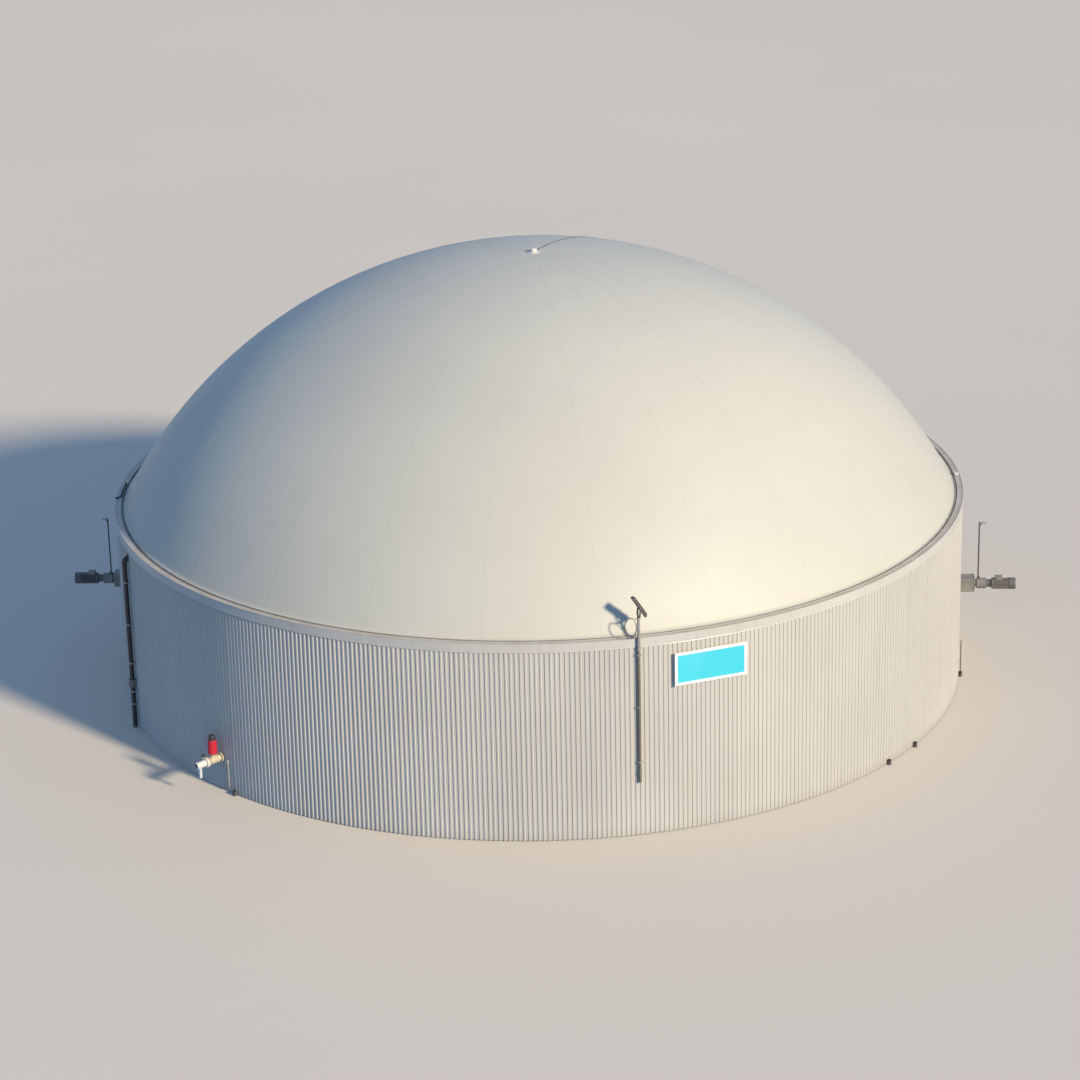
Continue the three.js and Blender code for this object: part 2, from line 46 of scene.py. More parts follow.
# Camera at the photograph's standpoint, above the road in front of the tank. A long lens fills the
# picture with the tank, and a slight roll leans its upright edges as they lean in the photograph.
eye = Vector((0, -96.09, 40.07))
aimed_at = Vector((0, 0, 4.1))
camera = bpy.data.objects.new("camera", bpy.data.cameras.new("camera"))
bpy.context.scene.collection.objects.link(camera)
camera.location = eye
straight = (aimed_at - eye).to_track_quat("-Z", "Y").to_matrix().to_4x4()
camera.rotation_euler = (straight @ Matrix.Rotation(rad(-1.3), 4, "Z")).to_euler()
camera.data.sensor_width = 36
camera.data.lens = 110
camera.data.clip_end = 3000
bpy.context.scene.camera = camera


# Plain studio light: a warm soft key from the front right, a cool sky all round and a faint fill
# from behind.
def lamp_from(name, azimuth, height, strength, colour, softness):
    light = bpy.data.objects.new(name, bpy.data.lights.new(name, "SUN"))
    bpy.context.scene.collection.objects.link(light)
    a, h = rad(azimuth), rad(height)
    way = Vector((math.sin(a) * math.cos(h), -math.cos(a) * math.cos(h), math.sin(h)))
    light.rotation_euler = (-way).to_track_quat("-Z", "Y").to_euler()
    light.location = way * 60
    light.data.energy = strength
    light.data.color = colour
    light.data.angle = rad(softness)


lamp_from("key_light", 45, 25, 5.5, (1.0, 0.86, 0.65), 6)
lamp_from("back_fill", 225, 35, 0.1, (0.86, 0.92, 1.0), 40)

bpy.context.scene.world = bpy.data.worlds.new("studio")
bpy.context.scene.world.use_nodes = True
sky = bpy.context.scene.world.node_tree.nodes["Background"]
sky.inputs["Color"].default_value = (0.34, 0.58, 1.0, 1)
sky.inputs["Strength"].default_value = 0.6
bpy.context.scene.view_settings.view_transform = "Standard"


# Studio floor: a wide pale matt sheet, far larger than the tank. It throws no light back at it, so
# the side away from the key stays as deep and cool as in the photograph. The helpers build every
# finish: effects that several finishes share are node groups, placed in each with its own values.
def add(tree, kind, inputs=None, **settings):
    node = tree.nodes.new(kind)
    for key, value in settings.items():
        setattr(node, key, value)
    for key, value in (inputs or {}).items():
        if isinstance(value, bpy.types.NodeSocket):
            tree.links.new(value, node.inputs[key])
        else:
            node.inputs[key].default_value = value
    return node


def effect(name, output, **inputs):
    """An empty node group: its tree, what it is given, and what it gives out."""
    tree = bpy.data.node_groups.new(name, "ShaderNodeTree")
    tree.interface.new_socket("Vector", in_out="INPUT", socket_type="NodeSocketVector")
    for label, value in inputs.items():
        socket = tree.interface.new_socket(label, in_out="INPUT", socket_type="NodeSocketFloat")
        socket.default_value = value
    tree.interface.new_socket(output, in_out="OUTPUT", socket_type="NodeSocketFloat")
    return tree, tree.nodes.new("NodeGroupInput").outputs, tree.nodes.new("NodeGroupOutput").inputs


def eased(tree, value, low, high):
    """A soft step from 0 at one value to 1 at another."""
    span = {"Value": value, "From Min": low, "From Max": high}
    return add(tree, "ShaderNodeMapRange", span, interpolation_type="SMOOTHSTEP").outputs[0]


def stretched(tree, vector, scale, length):
    """Pattern coordinates at a scale, drawn out upwards."""
    size = add(tree, "ShaderNodeCombineXYZ", {"X": 1.0, "Y": 1.0, "Z": length})
    long = add(tree, "ShaderNodeVectorMath", {0: vector, 1: size.outputs[0]}, operation="MULTIPLY")
    return add(tree, "ShaderNodeVectorMath", {0: long.outputs[0], "Scale": scale}, operation="SCALE").outputs[0]


# Patches of slightly different tone, from old weather and uneven batches.
uneven_tone, given, result = effect("uneven_tone", "Tone", Scale=1.0)
patches = add(uneven_tone, "ShaderNodeTexNoise", {"Vector": given["Vector"], "Scale": given["Scale"], "Detail": 5.0})
uneven_tone.links.new(eased(uneven_tone, patches.outputs[0], 0.3, 0.7), result["Tone"])

# Height of a fine surface grain.
fine_grain, given, result = effect("fine_grain", "Height", Scale=200.0, Length=1.0)
drawn_out = stretched(fine_grain, given["Vector"], given["Scale"], given["Length"])
specks = add(fine_grain, "ShaderNodeTexNoise", {"Vector": drawn_out, "Scale": 1.0, "Detail": 3.0})
fine_grain.links.new(specks.outputs[0], result["Height"])


def new_finish(name, colour, other, roughness, tone=1.0, metallic=0.0, grain=(200.0, 1.0), bump=(0.1, 0.001)):
    """A finish whose colour wanders between two tones over a grain given as (scale, length)."""
    made = bpy.data.materials.new(name)
    made.use_nodes = True
    tree = made.node_tree
    shader = tree.nodes["Principled BSDF"]
    where = add(tree, "ShaderNodeTexCoord").outputs["Object"]
    wander = add(tree, "ShaderNodeGroup", node_tree=uneven_tone)
    tree.links.new(where, wander.inputs["Vector"])
    wander.inputs["Scale"].default_value = tone
    blend = add(tree, "ShaderNodeMix", {"Factor": wander.outputs[0]}, data_type="RGBA")
    blend.inputs["A"].default_value = (*colour, 1)
    blend.inputs["B"].default_value = (*other, 1)
    tree.links.new(blend.outputs["Result"], shader.inputs["Base Color"])
    matt = {"Value": wander.outputs[0], "To Min": roughness - 0.05, "To Max": roughness + 0.06}
    tree.links.new(add(tree, "ShaderNodeMapRange", matt).outputs[0], shader.inputs["Roughness"])
    grained = add(tree, "ShaderNodeGroup", node_tree=fine_grain)
    tree.links.new(where, grained.inputs["Vector"])
    grained.inputs["Scale"].default_value, grained.inputs["Length"].default_value = grain
    relief = add(tree, "ShaderNodeBump", {"Height": grained.outputs[0], "Strength": bump[0], "Distance": bump[1]})
    tree.links.new(relief.outputs[0], shader.inputs["Normal"])
    shader.inputs["Metallic"].default_value = metallic
    return made


def stain(made, group, share, colour, **values):
    """Tints a finish where an effect shows, over the tints that it already has."""
    tree = made.node_tree
    base = tree.nodes["Principled BSDF"].inputs["Base Color"]
    mask = add(tree, "ShaderNodeGroup", node_tree=group)
    tree.links.new(tree.nodes["Texture Coordinate"].outputs["Object"], mask.inputs["Vector"])
    for label, value in values.items():
        mask.inputs[label].default_value = value
    amount = add(tree, "ShaderNodeMath", {0: mask.outputs[0], 1: share}, operation="MULTIPLY")
    blend = add(tree, "ShaderNodeMix", {"Factor": amount.outputs[0]}, data_type="RGBA")
    tree.links.new(base.links[0].from_socket, blend.inputs["A"])
    blend.inputs["B"].default_value = (*colour, 1)
    tree.links.new(blend.outputs["Result"], base)


bpy.ops.object.select_all(action="DESELECT")
bpy.ops.mesh.primitive_circle_add(vertices=96, radius=900, fill_type="NGON")
floor = bpy.context.object
floor.name = "studio_floor"
floor.data.materials.append(new_finish("pale_floor", (0.59, 0.53, 0.455), (0.61, 0.55, 0.475), 0.85, tone=0.02))
floor.visible_diffuse = False


# Concrete tank: floor slab and cast ring wall, which only show in the slot under the cladding and
# from below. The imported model's plain shapes are right, so they stay, in grey cast concrete.
concrete = new_finish("cast_concrete", (0.40, 0.385, 0.36), (0.30, 0.29, 0.27), 0.85, 0.7, bump=(0.35, 0.003))
for name in ["floor_slab"] + [f"wall_segment_{i}" for i in range(1, 7)]:
    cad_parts[name].material_slots[0].material = concrete


# Ribbed steel sheets over the insulation, in six lengths of 99 ribs. Each sheet is nine ribs wide,
# laps the next on a crest and is screwed through its valleys in five rows. A rib is folded with
# small bends, extruded to the sheet's height and repeated round the wall.
RIB = 360 / 594
VALLEY, CREST, INSULATION = 12.98, 13.0, 12.88
SHEET_FOOT, SHEET_HEAD = 0.03, 5.93


def only(*pieces):
    """Object mode, with just these pieces selected."""
    if bpy.context.mode != "OBJECT":
        bpy.ops.object.mode_set(mode="OBJECT")
    bpy.ops.object.select_all(action="DESELECT")
    for piece in pieces:
        piece.select_set(True)
    if pieces:
        bpy.context.view_layer.objects.active = pieces[0]


def shape(piece):
    """Edit mode on one piece, with all of it selected."""
    only(piece)
    bpy.ops.object.mode_set(mode="EDIT")
    bpy.ops.mesh.select_mode(type="VERT")
    bpy.ops.mesh.select_all(action="SELECT")


def choose(kind, test):
    """In edit mode, selects the edges or faces whose middle and direction pass a test."""
    bpy.ops.mesh.select_mode(type=kind)
    bpy.ops.mesh.select_all(action="DESELECT")
    mesh = bmesh.from_edit_mesh(bpy.context.object.data)
    for part in mesh.edges if kind == "EDGE" else mesh.faces:
        middle = sum((corner.co for corner in part.verts), Vector()) / len(part.verts)
        way = (part.verts[1].co - part.verts[0].co).normalized() if kind == "EDGE" else part.normal
        if test(middle, way):
            part.select_set(True)
    mesh.select_flush_mode()
    bmesh.update_edit_mesh(bpy.context.object.data)


def finished(piece, bend=35):
    """Back to object mode, with bends up to an angle shaded smooth."""
    only(piece)
    bpy.ops.object.shade_smooth_by_angle(angle=rad(bend))
    return piece


def drawn(name, points):
    """A line drawn by extruding a corner from point to point, left in edit mode."""
    only()
    points = [Vector(point) for point in points]
    bpy.ops.mesh.primitive_plane_add(size=0.001, location=points[0])
    line = bpy.context.object
    line.name = name
    bpy.ops.object.transform_apply(location=True, rotation=True, scale=True)
    shape(line)
    bpy.ops.mesh.merge(type="CENTER")
    for here, there in zip(points, points[1:]):
        bpy.ops.mesh.extrude_region_move(TRANSFORM_OT_translate={"value": there - here})
    bpy.ops.mesh.select_all(action="SELECT")
    return line


def extruded(name, points, rise):
    """A closed outline filled and extruded by a vector, left in edit mode."""
    made = drawn(name, [*points, points[0]])
    bpy.ops.mesh.remove_doubles(threshold=0.00005)
    bpy.ops.mesh.edge_face_add()
    bpy.ops.mesh.extrude_region_move(TRANSFORM_OT_translate={"value": rise})
    bpy.ops.mesh.select_all(action="SELECT")
    bpy.ops.mesh.normals_make_consistent(inside=False)
    return made


def copies(pattern, places):
    """Copies of a pattern at the given places, each with its own mesh. The pattern goes."""
    made = []
    for place in places:
        twin = pattern.copy()
        twin.data = pattern.data.copy()
        bpy.context.scene.collection.objects.link(twin)
        twin.matrix_world = place
        made.append(twin)
    only(*made)
    bpy.ops.object.transform_apply(location=True, rotation=True, scale=True)
    bpy.data.objects.remove(pattern)
    return made


def joined(name, *pieces):
    only(*pieces)
    bpy.ops.object.join()
    pieces[0].name = name
    return pieces[0]


def repeated(piece, turn, count, rise=0.0, rows=1, merge=False):
    """Repeats a piece round the tank by an angle, and upwards in rows."""
    only()
    pivot = bpy.data.objects.new("pivot", None)
    bpy.context.scene.collection.objects.link(pivot)
    pivot.rotation_euler.z = rad(turn)
    only(piece)
    around = piece.modifiers.new("around", "ARRAY")
    around.use_relative_offset = False
    around.use_object_offset = True
    around.offset_object = pivot
    around.count = count
    around.use_merge_vertices = merge
    around.merge_threshold = 0.0005
    bpy.ops.object.modifier_apply(modifier="around")
    if rows > 1:
        up = piece.modifiers.new("up", "ARRAY")
        up.use_relative_offset = False
        up.use_constant_offset = True
        up.constant_offset_displace = (0, 0, rise)
        up.count = rows
        bpy.ops.object.modifier_apply(modifier="up")
    bpy.data.objects.remove(pivot)


def fix(piece, slot, *nodes):
    """Fixes a finished piece to the tank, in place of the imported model's nodes that it stands for."""
    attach(piece, "root")
    if nodes:
        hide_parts(*nodes)


def at(radius, azimuth, z):
    """A point at a radius, an azimuth and a height."""
    return Vector((radius * math.sin(rad(azimuth)), -radius * math.cos(rad(azimuth)), z))


def azimuth_of(point):
    return math.degrees(math.atan2(point.x, -point.y))


# Marks that run straight down a wall, broken into lengths.
rain_streaks, given, result = effect("rain_streaks", "Mask", Scale=4.0, Length=0.06, From=0.45, To=0.75)
drawn_out = stretched(rain_streaks, given["Vector"], given["Scale"], given["Length"])
runs = add(rain_streaks, "ShaderNodeTexNoise", {"Vector": drawn_out, "Scale": 1.0, "Detail": 6.0})
rain_streaks.links.new(eased(rain_streaks, runs.outputs[0], given["From"], given["To"]), result["Mask"])

# Soil splashed up by rain, up to a ragged line above the ground.
splashed_soil, given, result = effect("splashed_soil", "Mask", Height=0.4)
upright = add(splashed_soil, "ShaderNodeSeparateXYZ", {0: given["Vector"]})
ragged = add(splashed_soil, "ShaderNodeTexNoise", {"Vector": given["Vector"], "Scale": 3.0, "Detail": 6.0})
reach = add(splashed_soil, "ShaderNodeMath", {0: ragged.outputs[0], 1: given["Height"]}, operation="MULTIPLY")
left = add(splashed_soil, "ShaderNodeMath", {0: upright.outputs["Z"], 1: reach.outputs[0]}, operation="SUBTRACT")
splashed_soil.links.new(eased(splashed_soil, left.outputs[0], given["Height"], -0.12), result["Mask"])

# Small differences of tone from sheet to sheet round the wall, one for every few ribs.
sheet_batches, given, result = effect("sheet_batches", "Tone", Degrees=9 * RIB)
parts = add(sheet_batches, "ShaderNodeSeparateXYZ", {0: given["Vector"]})
turn = add(sheet_batches, "ShaderNodeMath", {0: parts.outputs["Y"], 1: parts.outputs["X"]}, operation="ARCTAN2")
degrees = add(sheet_batches, "ShaderNodeMath", {0: turn.outputs[0]}, operation="DEGREES")
sheets = add(sheet_batches, "ShaderNodeMath", {0: degrees.outputs[0], 1: given["Degrees"]}, operation="DIVIDE")
number = add(sheet_batches, "ShaderNodeMath", {0: sheets.outputs[0]}, operation="FLOOR")
dice = add(sheet_batches, "ShaderNodeTexWhiteNoise", {"W": number.outputs[0]}, noise_dimensions="1D")
sheet_batches.links.new(dice.outputs["Value"], result["Tone"])

coated_sheet = new_finish(
    "coated_sheet", (0.485, 0.458, 0.404), (0.445, 0.418, 0.37), 0.42, 0.25, grain=(90.0, 0.2), bump=(0.05, 0.001)
)
stain(coated_sheet, sheet_batches, 0.12, (0.33, 0.315, 0.285), Degrees=9 * RIB)
stain(coated_sheet, rain_streaks, 0.16, (0.30, 0.28, 0.245), Scale=5.0, Length=0.05, From=0.5, To=0.8)
stain(coated_sheet, splashed_soil, 0.25, (0.29, 0.25, 0.20), Height=0.25)
zinc = new_finish("zinc_plated_steel", (0.56, 0.56, 0.55), (0.42, 0.42, 0.42), 0.4, 14.0, metallic=0.85)


def fold(share, radius):
    return at(radius, share * RIB, SHEET_FOOT)


rib = extruded(
    "ribbed_sheet",
    [
        fold(0, VALLEY), fold(0.253, VALLEY), fold(0.354, CREST), fold(0.646, CREST),
        fold(0.747, VALLEY), fold(1, VALLEY), fold(1, INSULATION), fold(0, INSULATION),
    ],
    (0, 0, SHEET_HEAD - SHEET_FOOT),
)
choose("EDGE", lambda middle, way: abs(way.z) > 0.9 and 0.2 < azimuth_of(middle) / RIB < 0.8)
bpy.ops.mesh.bevel(offset=0.004, segments=2, affect="EDGES")
choose("FACE", lambda middle, way: not 0.01 < azimuth_of(middle) / RIB < 0.99)
bpy.ops.mesh.delete(type="ONLY_FACE")
repeated(rib, RIB, 99, merge=True)
shape(rib)
bpy.ops.mesh.fill_holes(sides=4)
finished(rib, 12)

lap = extruded(
    "sheet_lap",
    [
        fold(0.305, VALLEY + 0.012), fold(0.350, CREST + 0.0018), fold(0.650, CREST + 0.0018),
        fold(0.695, VALLEY + 0.012), fold(0.640, VALLEY + 0.012), fold(0.360, VALLEY + 0.012),
    ],
    (0, 0, SHEET_HEAD - SHEET_FOOT),
)
repeated(lap, 9 * RIB, 11)
sheets = joined("ribbed_sheet", rib, finished(lap, 12))
sheets.data.materials.append(coated_sheet)


def bolt(width, metal):
    """A hexagon head on a washer, standing on the origin and pointing along +X, for copying."""
    only()
    side = (0, rad(90), 0)
    bpy.ops.mesh.primitive_cylinder_add(vertices=10, radius=width * 0.7, depth=width * 0.14, rotation=side)
    washer = bpy.context.object
    bpy.ops.object.transform_apply(location=True, rotation=True, scale=True)
    shape(washer)
    bpy.ops.transform.translate(value=(width * 0.07, 0, 0))
    only()
    bpy.ops.mesh.primitive_cylinder_add(vertices=6, radius=width / 2, depth=width * 0.4, rotation=side)
    head = bpy.context.object
    bpy.ops.object.transform_apply(location=True, rotation=True, scale=True)
    shape(head)
    bpy.ops.transform.translate(value=(width * 0.32, 0, 0))
    choose("FACE", lambda middle, way: way.x > 0.9)
    bpy.ops.mesh.inset(thickness=width * 0.08)
    bpy.ops.transform.translate(value=(width * 0.05, 0, 0))
    made = joined("bolt", washer, head)
    made.data.materials.append(metal)
    return made


screw = copies(bolt(0.014, zinc), [Matrix.Translation((VALLEY, 0, 0.14))])[0]
screw = copies(screw, [Matrix.Rotation(rad(RIB - 90), 4, "Z")])[0]
repeated(screw, 3 * RIB, 33, rise=1.345, rows=5)
round_the_wall = [Matrix.Rotation(rad(60 * i), 4, "Z") for i in range(6)]
for i, (sheet, screws) in enumerate(zip(copies(sheets, round_the_wall), copies(screw, round_the_wall)), 1):
    sheet.name = f"ribbed_sheet_{i}"
    screws.name = f"sheet_screws_{i}"
    fix(sheet, "cladding", f"cladding_{i}")
    fix(screws, "stainless")


# Rim flashing: folded coated sheet over the top of the cladding, in four quarters. It has a kicked
# drip edge, a band, a rolled lip and a ledge that falls slightly to the inside, where it is turned up.
# Its lengths butt under riveted straps, and screws hold the band to the ribs.
FLASHING_FOLDS = [
    (13.0135, 5.681), (13.0075, 5.693), (13.0065, 5.93), (13.0125, 5.938), (13.0125, 5.9465),
    (13.006, 5.9485), (12.996, 5.9465), (12.988, 5.937), (12.84, 5.9335), (12.832, 5.936), (12.831, 5.948),
]


def folded(name, folds, degrees, steps, thickness):
    """Sheet folded along an outline of (radius, height) and rolled round the tank."""
    sheet = drawn(name, [(0, -radius, height) for radius, height in folds])
    bpy.ops.mesh.spin(steps=steps, angle=rad(degrees), center=(0, 0, 0), axis=(0, 0, -1))
    bpy.ops.mesh.select_all(action="SELECT")
    bpy.ops.mesh.remove_doubles(threshold=0.0001)
    bpy.ops.mesh.normals_make_consistent(inside=False)
    only(sheet)
    wall = sheet.modifiers.new("wall", "SOLIDIFY")
    wall.thickness = thickness
    wall.offset = 0
    bpy.ops.object.modifier_apply(modifier="wall")
    return finished(sheet, 25)


def round_tank(*azimuths):
    """Places for copies of a pattern that points along +X, turned to azimuths."""
    return [Matrix.Rotation(rad(azimuth - 90), 4, "Z") for azimuth in azimuths]


def facing(place, way):
    """A place for a copy of a pattern that points along +X, turned to point another way."""
    return Matrix.Translation(place) @ Vector(way).to_track_quat("X", "Z").to_matrix().to_4x4()


flashing_sheet = new_finish(
    "flashing_sheet", (0.51, 0.485, 0.435), (0.46, 0.435, 0.385), 0.36, 0.3, grain=(90.0, 1.0), bump=(0.05, 0.001)
)
stain(flashing_sheet, sheet_batches, 0.16, (0.36, 0.345, 0.315), Degrees=90 / 7)
stain(flashing_sheet, rain_streaks, 0.25, (0.29, 0.27, 0.235), Scale=6.0, Length=0.12, From=0.48, To=0.8)

# Upward faces darkened in blotches, thinning out as they get steeper: partly settled dust, partly painted shade.
dust_and_painted_shade, given, result = effect("dust_and_painted_shade", "Mask", Scale=0.5)
blotches = add(dust_and_painted_shade, "ShaderNodeTexNoise", {"Vector": given["Vector"], "Scale": given["Scale"], "Detail": 7.0})
slope = add(dust_and_painted_shade, "ShaderNodeSeparateXYZ", {0: add(dust_and_painted_shade, "ShaderNodeNewGeometry").outputs["Normal"]})
level = eased(dust_and_painted_shade, slope.outputs["Z"], 0.45, 1.05)
share = add(dust_and_painted_shade, "ShaderNodeMath", {0: blotches.outputs[0], 1: level}, operation="MULTIPLY")
dust_and_painted_shade.links.new(eased(dust_and_painted_shade, share.outputs[0], 0.1, 0.75), result["Mask"])
# Painted shade on the ledge: its upward faces are darkened brown, partly dust and partly shade.
stain(flashing_sheet, dust_and_painted_shade, 0.6, (0.33, 0.24, 0.17), Scale=1.5)

band = folded("rim_sheet", FLASHING_FOLDS, 90, 60, 0.0018)
band.data.materials.append(flashing_sheet)
strap = folded("joint_strap", [(r + 0.0016 if z < 5.94 else r, z + 0.0016) for r, z in FLASHING_FOLDS[:8]], 0.6, 2, 0.0016)
strap.data.materials.append(flashing_sheet)
strap = joined("joint_strap", strap, *copies(bolt(0.012, zinc), [
    facing(at(13.0092, 0.12 + 0.36 * side, height), at(1, 0.3, 0)) for side in (0, 1) for height in (5.73, 5.88)
]))
straps = copies(strap, [Matrix.Rotation(rad(90 / 7 * (i + 0.5) - 0.3), 4, "Z") for i in range(7)])
band_screw = copies(bolt(0.012, zinc), [Matrix.Translation((13.0082, 0, 5.715))])[0]
band_screw = copies(band_screw, round_tank(0.5 * RIB))[0]
repeated(band_screw, 4.5 * RIB, 33)
quarter = joined("rim_sheet", band, band_screw, *straps)
for i, rim in enumerate(copies(quarter, [Matrix.Rotation(rad(90 * i), 4, "Z") for i in range(4)]), 1):
    rim.name = f"rim_sheet_{i}"
    fix(rim, "flashing", f"rim_flashing_{i}")


# Clamp rail and hose: a stainless U rail on the top of the wall, rolled to the tank. The edge of the
# membrane lies in it, and a black hose blown up in the rail grips it all round.
def spun(name, outline, closed=False, steps=144):
    """An outline of (radius, height) spun round the tank's axis."""
    points = [(0, -radius, height) for radius, height in outline]
    ring = drawn(name, [*points, points[0]] if closed else points)
    bpy.ops.mesh.remove_doubles(threshold=0.00005)
    bpy.ops.mesh.spin(steps=steps, angle=rad(360), center=(0, 0, 0), axis=(0, 0, 1))
    bpy.ops.mesh.select_all(action="SELECT")
    bpy.ops.mesh.remove_doubles(threshold=0.0001)
    bpy.ops.mesh.normals_make_consistent(inside=False)
    return ring


stainless = new_finish(
    "rolled_stainless", (0.60, 0.60, 0.61), (0.48, 0.48, 0.49), 0.32, 3.0, metallic=0.95, grain=(300.0, 0.05)
)
rail = spun("membrane_rail", [
    (12.742, 5.9003), (12.808, 5.9003), (12.81, 5.9025), (12.81, 5.9485), (12.8075, 5.9503), (12.8055, 5.9485),
    (12.8045, 5.907), (12.7455, 5.907), (12.7445, 5.9485), (12.7425, 5.9503), (12.74, 5.9485), (12.74, 5.9025),
], closed=True)
finished(rail, 30).data.materials.append(stainless)
fix(rail, "stainless", "clamp_rail")

hose_rubber = new_finish("black_rubber", (0.022, 0.022, 0.024), (0.035, 0.034, 0.034), 0.62, 2.0, bump=(0.2, 0.001))
stain(hose_rubber, rain_streaks, 0.35, (0.13, 0.12, 0.105), Scale=2.0, Length=1.0, From=0.5, To=0.8)
hose_ring = []
for i in range(14):
    turn = rad(360 / 14 * i)
    hose_ring.append((12.775 + 0.0235 * math.cos(turn), 5.932 + 0.0245 * math.sin(turn)))
# The hose's black rubber is painted lighter: partly dust, partly painted light against the shade of the rail's groove.
dusty_rubber_painted_light = new_finish("dusty_rubber_painted_light", (0.26, 0.235, 0.20), (0.19, 0.17, 0.145), 0.75, 1.5, bump=(0.2, 0.001))
hose = finished(spun("membrane_hose", hose_ring, closed=True), 80)
hose.data.materials.append(dusty_rubber_painted_light)
fix(hose, "black_rubber", "clamp_hose")


# Outer membrane: coated fabric cut in 24 gores, welded edge to edge and blown up to part of a sphere.
# Near the foot it leaves the sphere, passes over the inner lip of the rail and goes down under the
# hose. Welded laps 50 mm wide run from the crown to the foot.
SPHERE = 14.6003
SPHERE_CENTRE = 13.36 - SPHERE
LEAVES_SPHERE = 60.1


def on_dome(tilt, raised=0.0):
    """(radius, height) on the dome at an angle from its crown."""
    reach = SPHERE + raised
    return reach * math.sin(rad(tilt)), SPHERE_CENTRE + reach * math.cos(rad(tilt))


def skin_line(raised, from_tilt, steps):
    line = [on_dome(from_tilt + (LEAVES_SPHERE - from_tilt) * i / steps, raised) for i in range(steps + 1)]
    return [*line, (12.702, 5.965 + raised), (12.724, 5.956 + raised), (12.743, 5.9535 + raised)]


membrane_fabric = new_finish(
    "membrane_fabric", (0.495, 0.48, 0.41), (0.465, 0.45, 0.385), 0.5, 0.16, grain=(420.0, 1.0), bump=(0.06, 0.0006)
)
# Painted shade on the dome's top: upward faces tinted a cooler, darker grey, partly dust and partly shade.
stain(membrane_fabric, dust_and_painted_shade, 0.30, (0.42, 0.43, 0.43), Scale=0.45)
stain(membrane_fabric, rain_streaks, 0.10, (0.34, 0.33, 0.30), Scale=1.3, Length=0.25, From=0.5, To=0.85)

skin = spun("dome_membrane", [*skin_line(0, 0, 30), (12.7505, 5.945), (12.7508, 5.93)])
only(skin)
fabric = skin.modifiers.new("fabric", "SOLIDIFY")
fabric.thickness = 0.002
fabric.offset = -1
bpy.ops.object.modifier_apply(modifier="fabric")
finished(skin, 60).data.materials.append(membrane_fabric)

weld = drawn("welded_lap", [(radius, -0.025, height) for radius, height in skin_line(0.0012, 0.75, 30)])
bpy.ops.mesh.extrude_region_move(TRANSFORM_OT_translate={"value": (0, 0.05, 0)})
bpy.ops.mesh.select_all(action="SELECT")
bpy.ops.mesh.normals_make_consistent(inside=False)
only(weld)
ply = weld.modifiers.new("ply", "SOLIDIFY")
ply.thickness = 0.0016
ply.offset = 0
bpy.ops.object.modifier_apply(modifier="ply")
finished(weld, 60).data.materials.append(membrane_fabric)
laps = copies(weld, round_tank(*[7.5 + 15 * i for i in range(24)]))
welds = joined("membrane_welds", *laps)
fix(welds, "membrane")
fix(skin, "membrane", "outer_membrane")


# Crown fitting: a moulded plate clamped through the top of the membrane by twelve bolts, with a
# domed cap and a lug on its back for the gauge belt.
def turned(name, outline, centre, axis=(1, 0, 0), steps=24, bend=35):
    """A round piece: an outline of (distance along the axis, radius) spun round an axis, open ends
    capped. A long stretch gets a ring near each end, so that wear on its corners stays narrow."""
    centre, axis = Vector(centre), Vector(axis)
    side = Vector((1, 0, 0)) if abs(axis.z) > 0.9 else Vector((0, 0, 1))
    line = []
    for start, end in zip(outline, outline[1:]):
        start, end = Vector(start), Vector(end)
        line.append(start)
        if (end - start).length > 0.016:
            step = (end - start).normalized() * 0.004
            line += [start + step, end - step]
    line.append(Vector(outline[-1]))
    made = drawn(name, [centre + axis * along + side * radius for along, radius in line])
    bpy.ops.mesh.spin(steps=steps, angle=rad(360), center=centre, axis=axis)
    bpy.ops.mesh.select_all(action="SELECT")
    bpy.ops.mesh.remove_doubles(threshold=0.0001)
    bpy.ops.mesh.fill_holes(sides=steps)
    bpy.ops.mesh.normals_make_consistent(inside=False)
    return finished(made, bend)


def block(name, low, high, edge=0.003, bordered=True):
    """A squared piece between two corners, its edges rounded off and its faces narrowly bordered."""
    only()
    low, high = Vector(low), Vector(high)
    bpy.ops.mesh.primitive_cube_add(size=1, location=(low + high) / 2, scale=high - low)
    made = bpy.context.object
    made.name = name
    bpy.ops.object.transform_apply(location=True, rotation=True, scale=True)
    shape(made)
    bpy.ops.mesh.bevel(offset=edge, segments=2, affect="EDGES")
    if bordered:
        choose("FACE", lambda middle, way: max(abs(share) for share in way) > 0.99)
        bpy.ops.mesh.inset(thickness=min(edge, 0.3 * (min(high - low) - 2 * edge)), use_individual=True)
    return finished(made, 40)


def ring_of(count, centre, radius, axis, first=0.0):
    """Places round a circle for copies of a pattern, all pointing along the circle's axis."""
    centre, axis = Vector(centre), Vector(axis)
    side = Vector((1, 0, 0)) if abs(axis.z) > 0.9 else Vector((0, 0, 1))
    return [
        facing(centre + Matrix.Rotation(rad(first + 360 / count * i), 3, axis) @ (side * radius), axis)
        for i in range(count)
    ]


def paint(finish, *pieces):
    for piece in pieces:
        piece.data.materials.clear()
        piece.data.materials.append(finish)


def swing(azimuth, piece):
    """Turns a piece about the tank's axis, from +X to its azimuth."""
    only(piece)
    piece.rotation_euler.z = rad(azimuth - 90)
    bpy.ops.object.transform_apply(location=True, rotation=True, scale=True)
    return piece


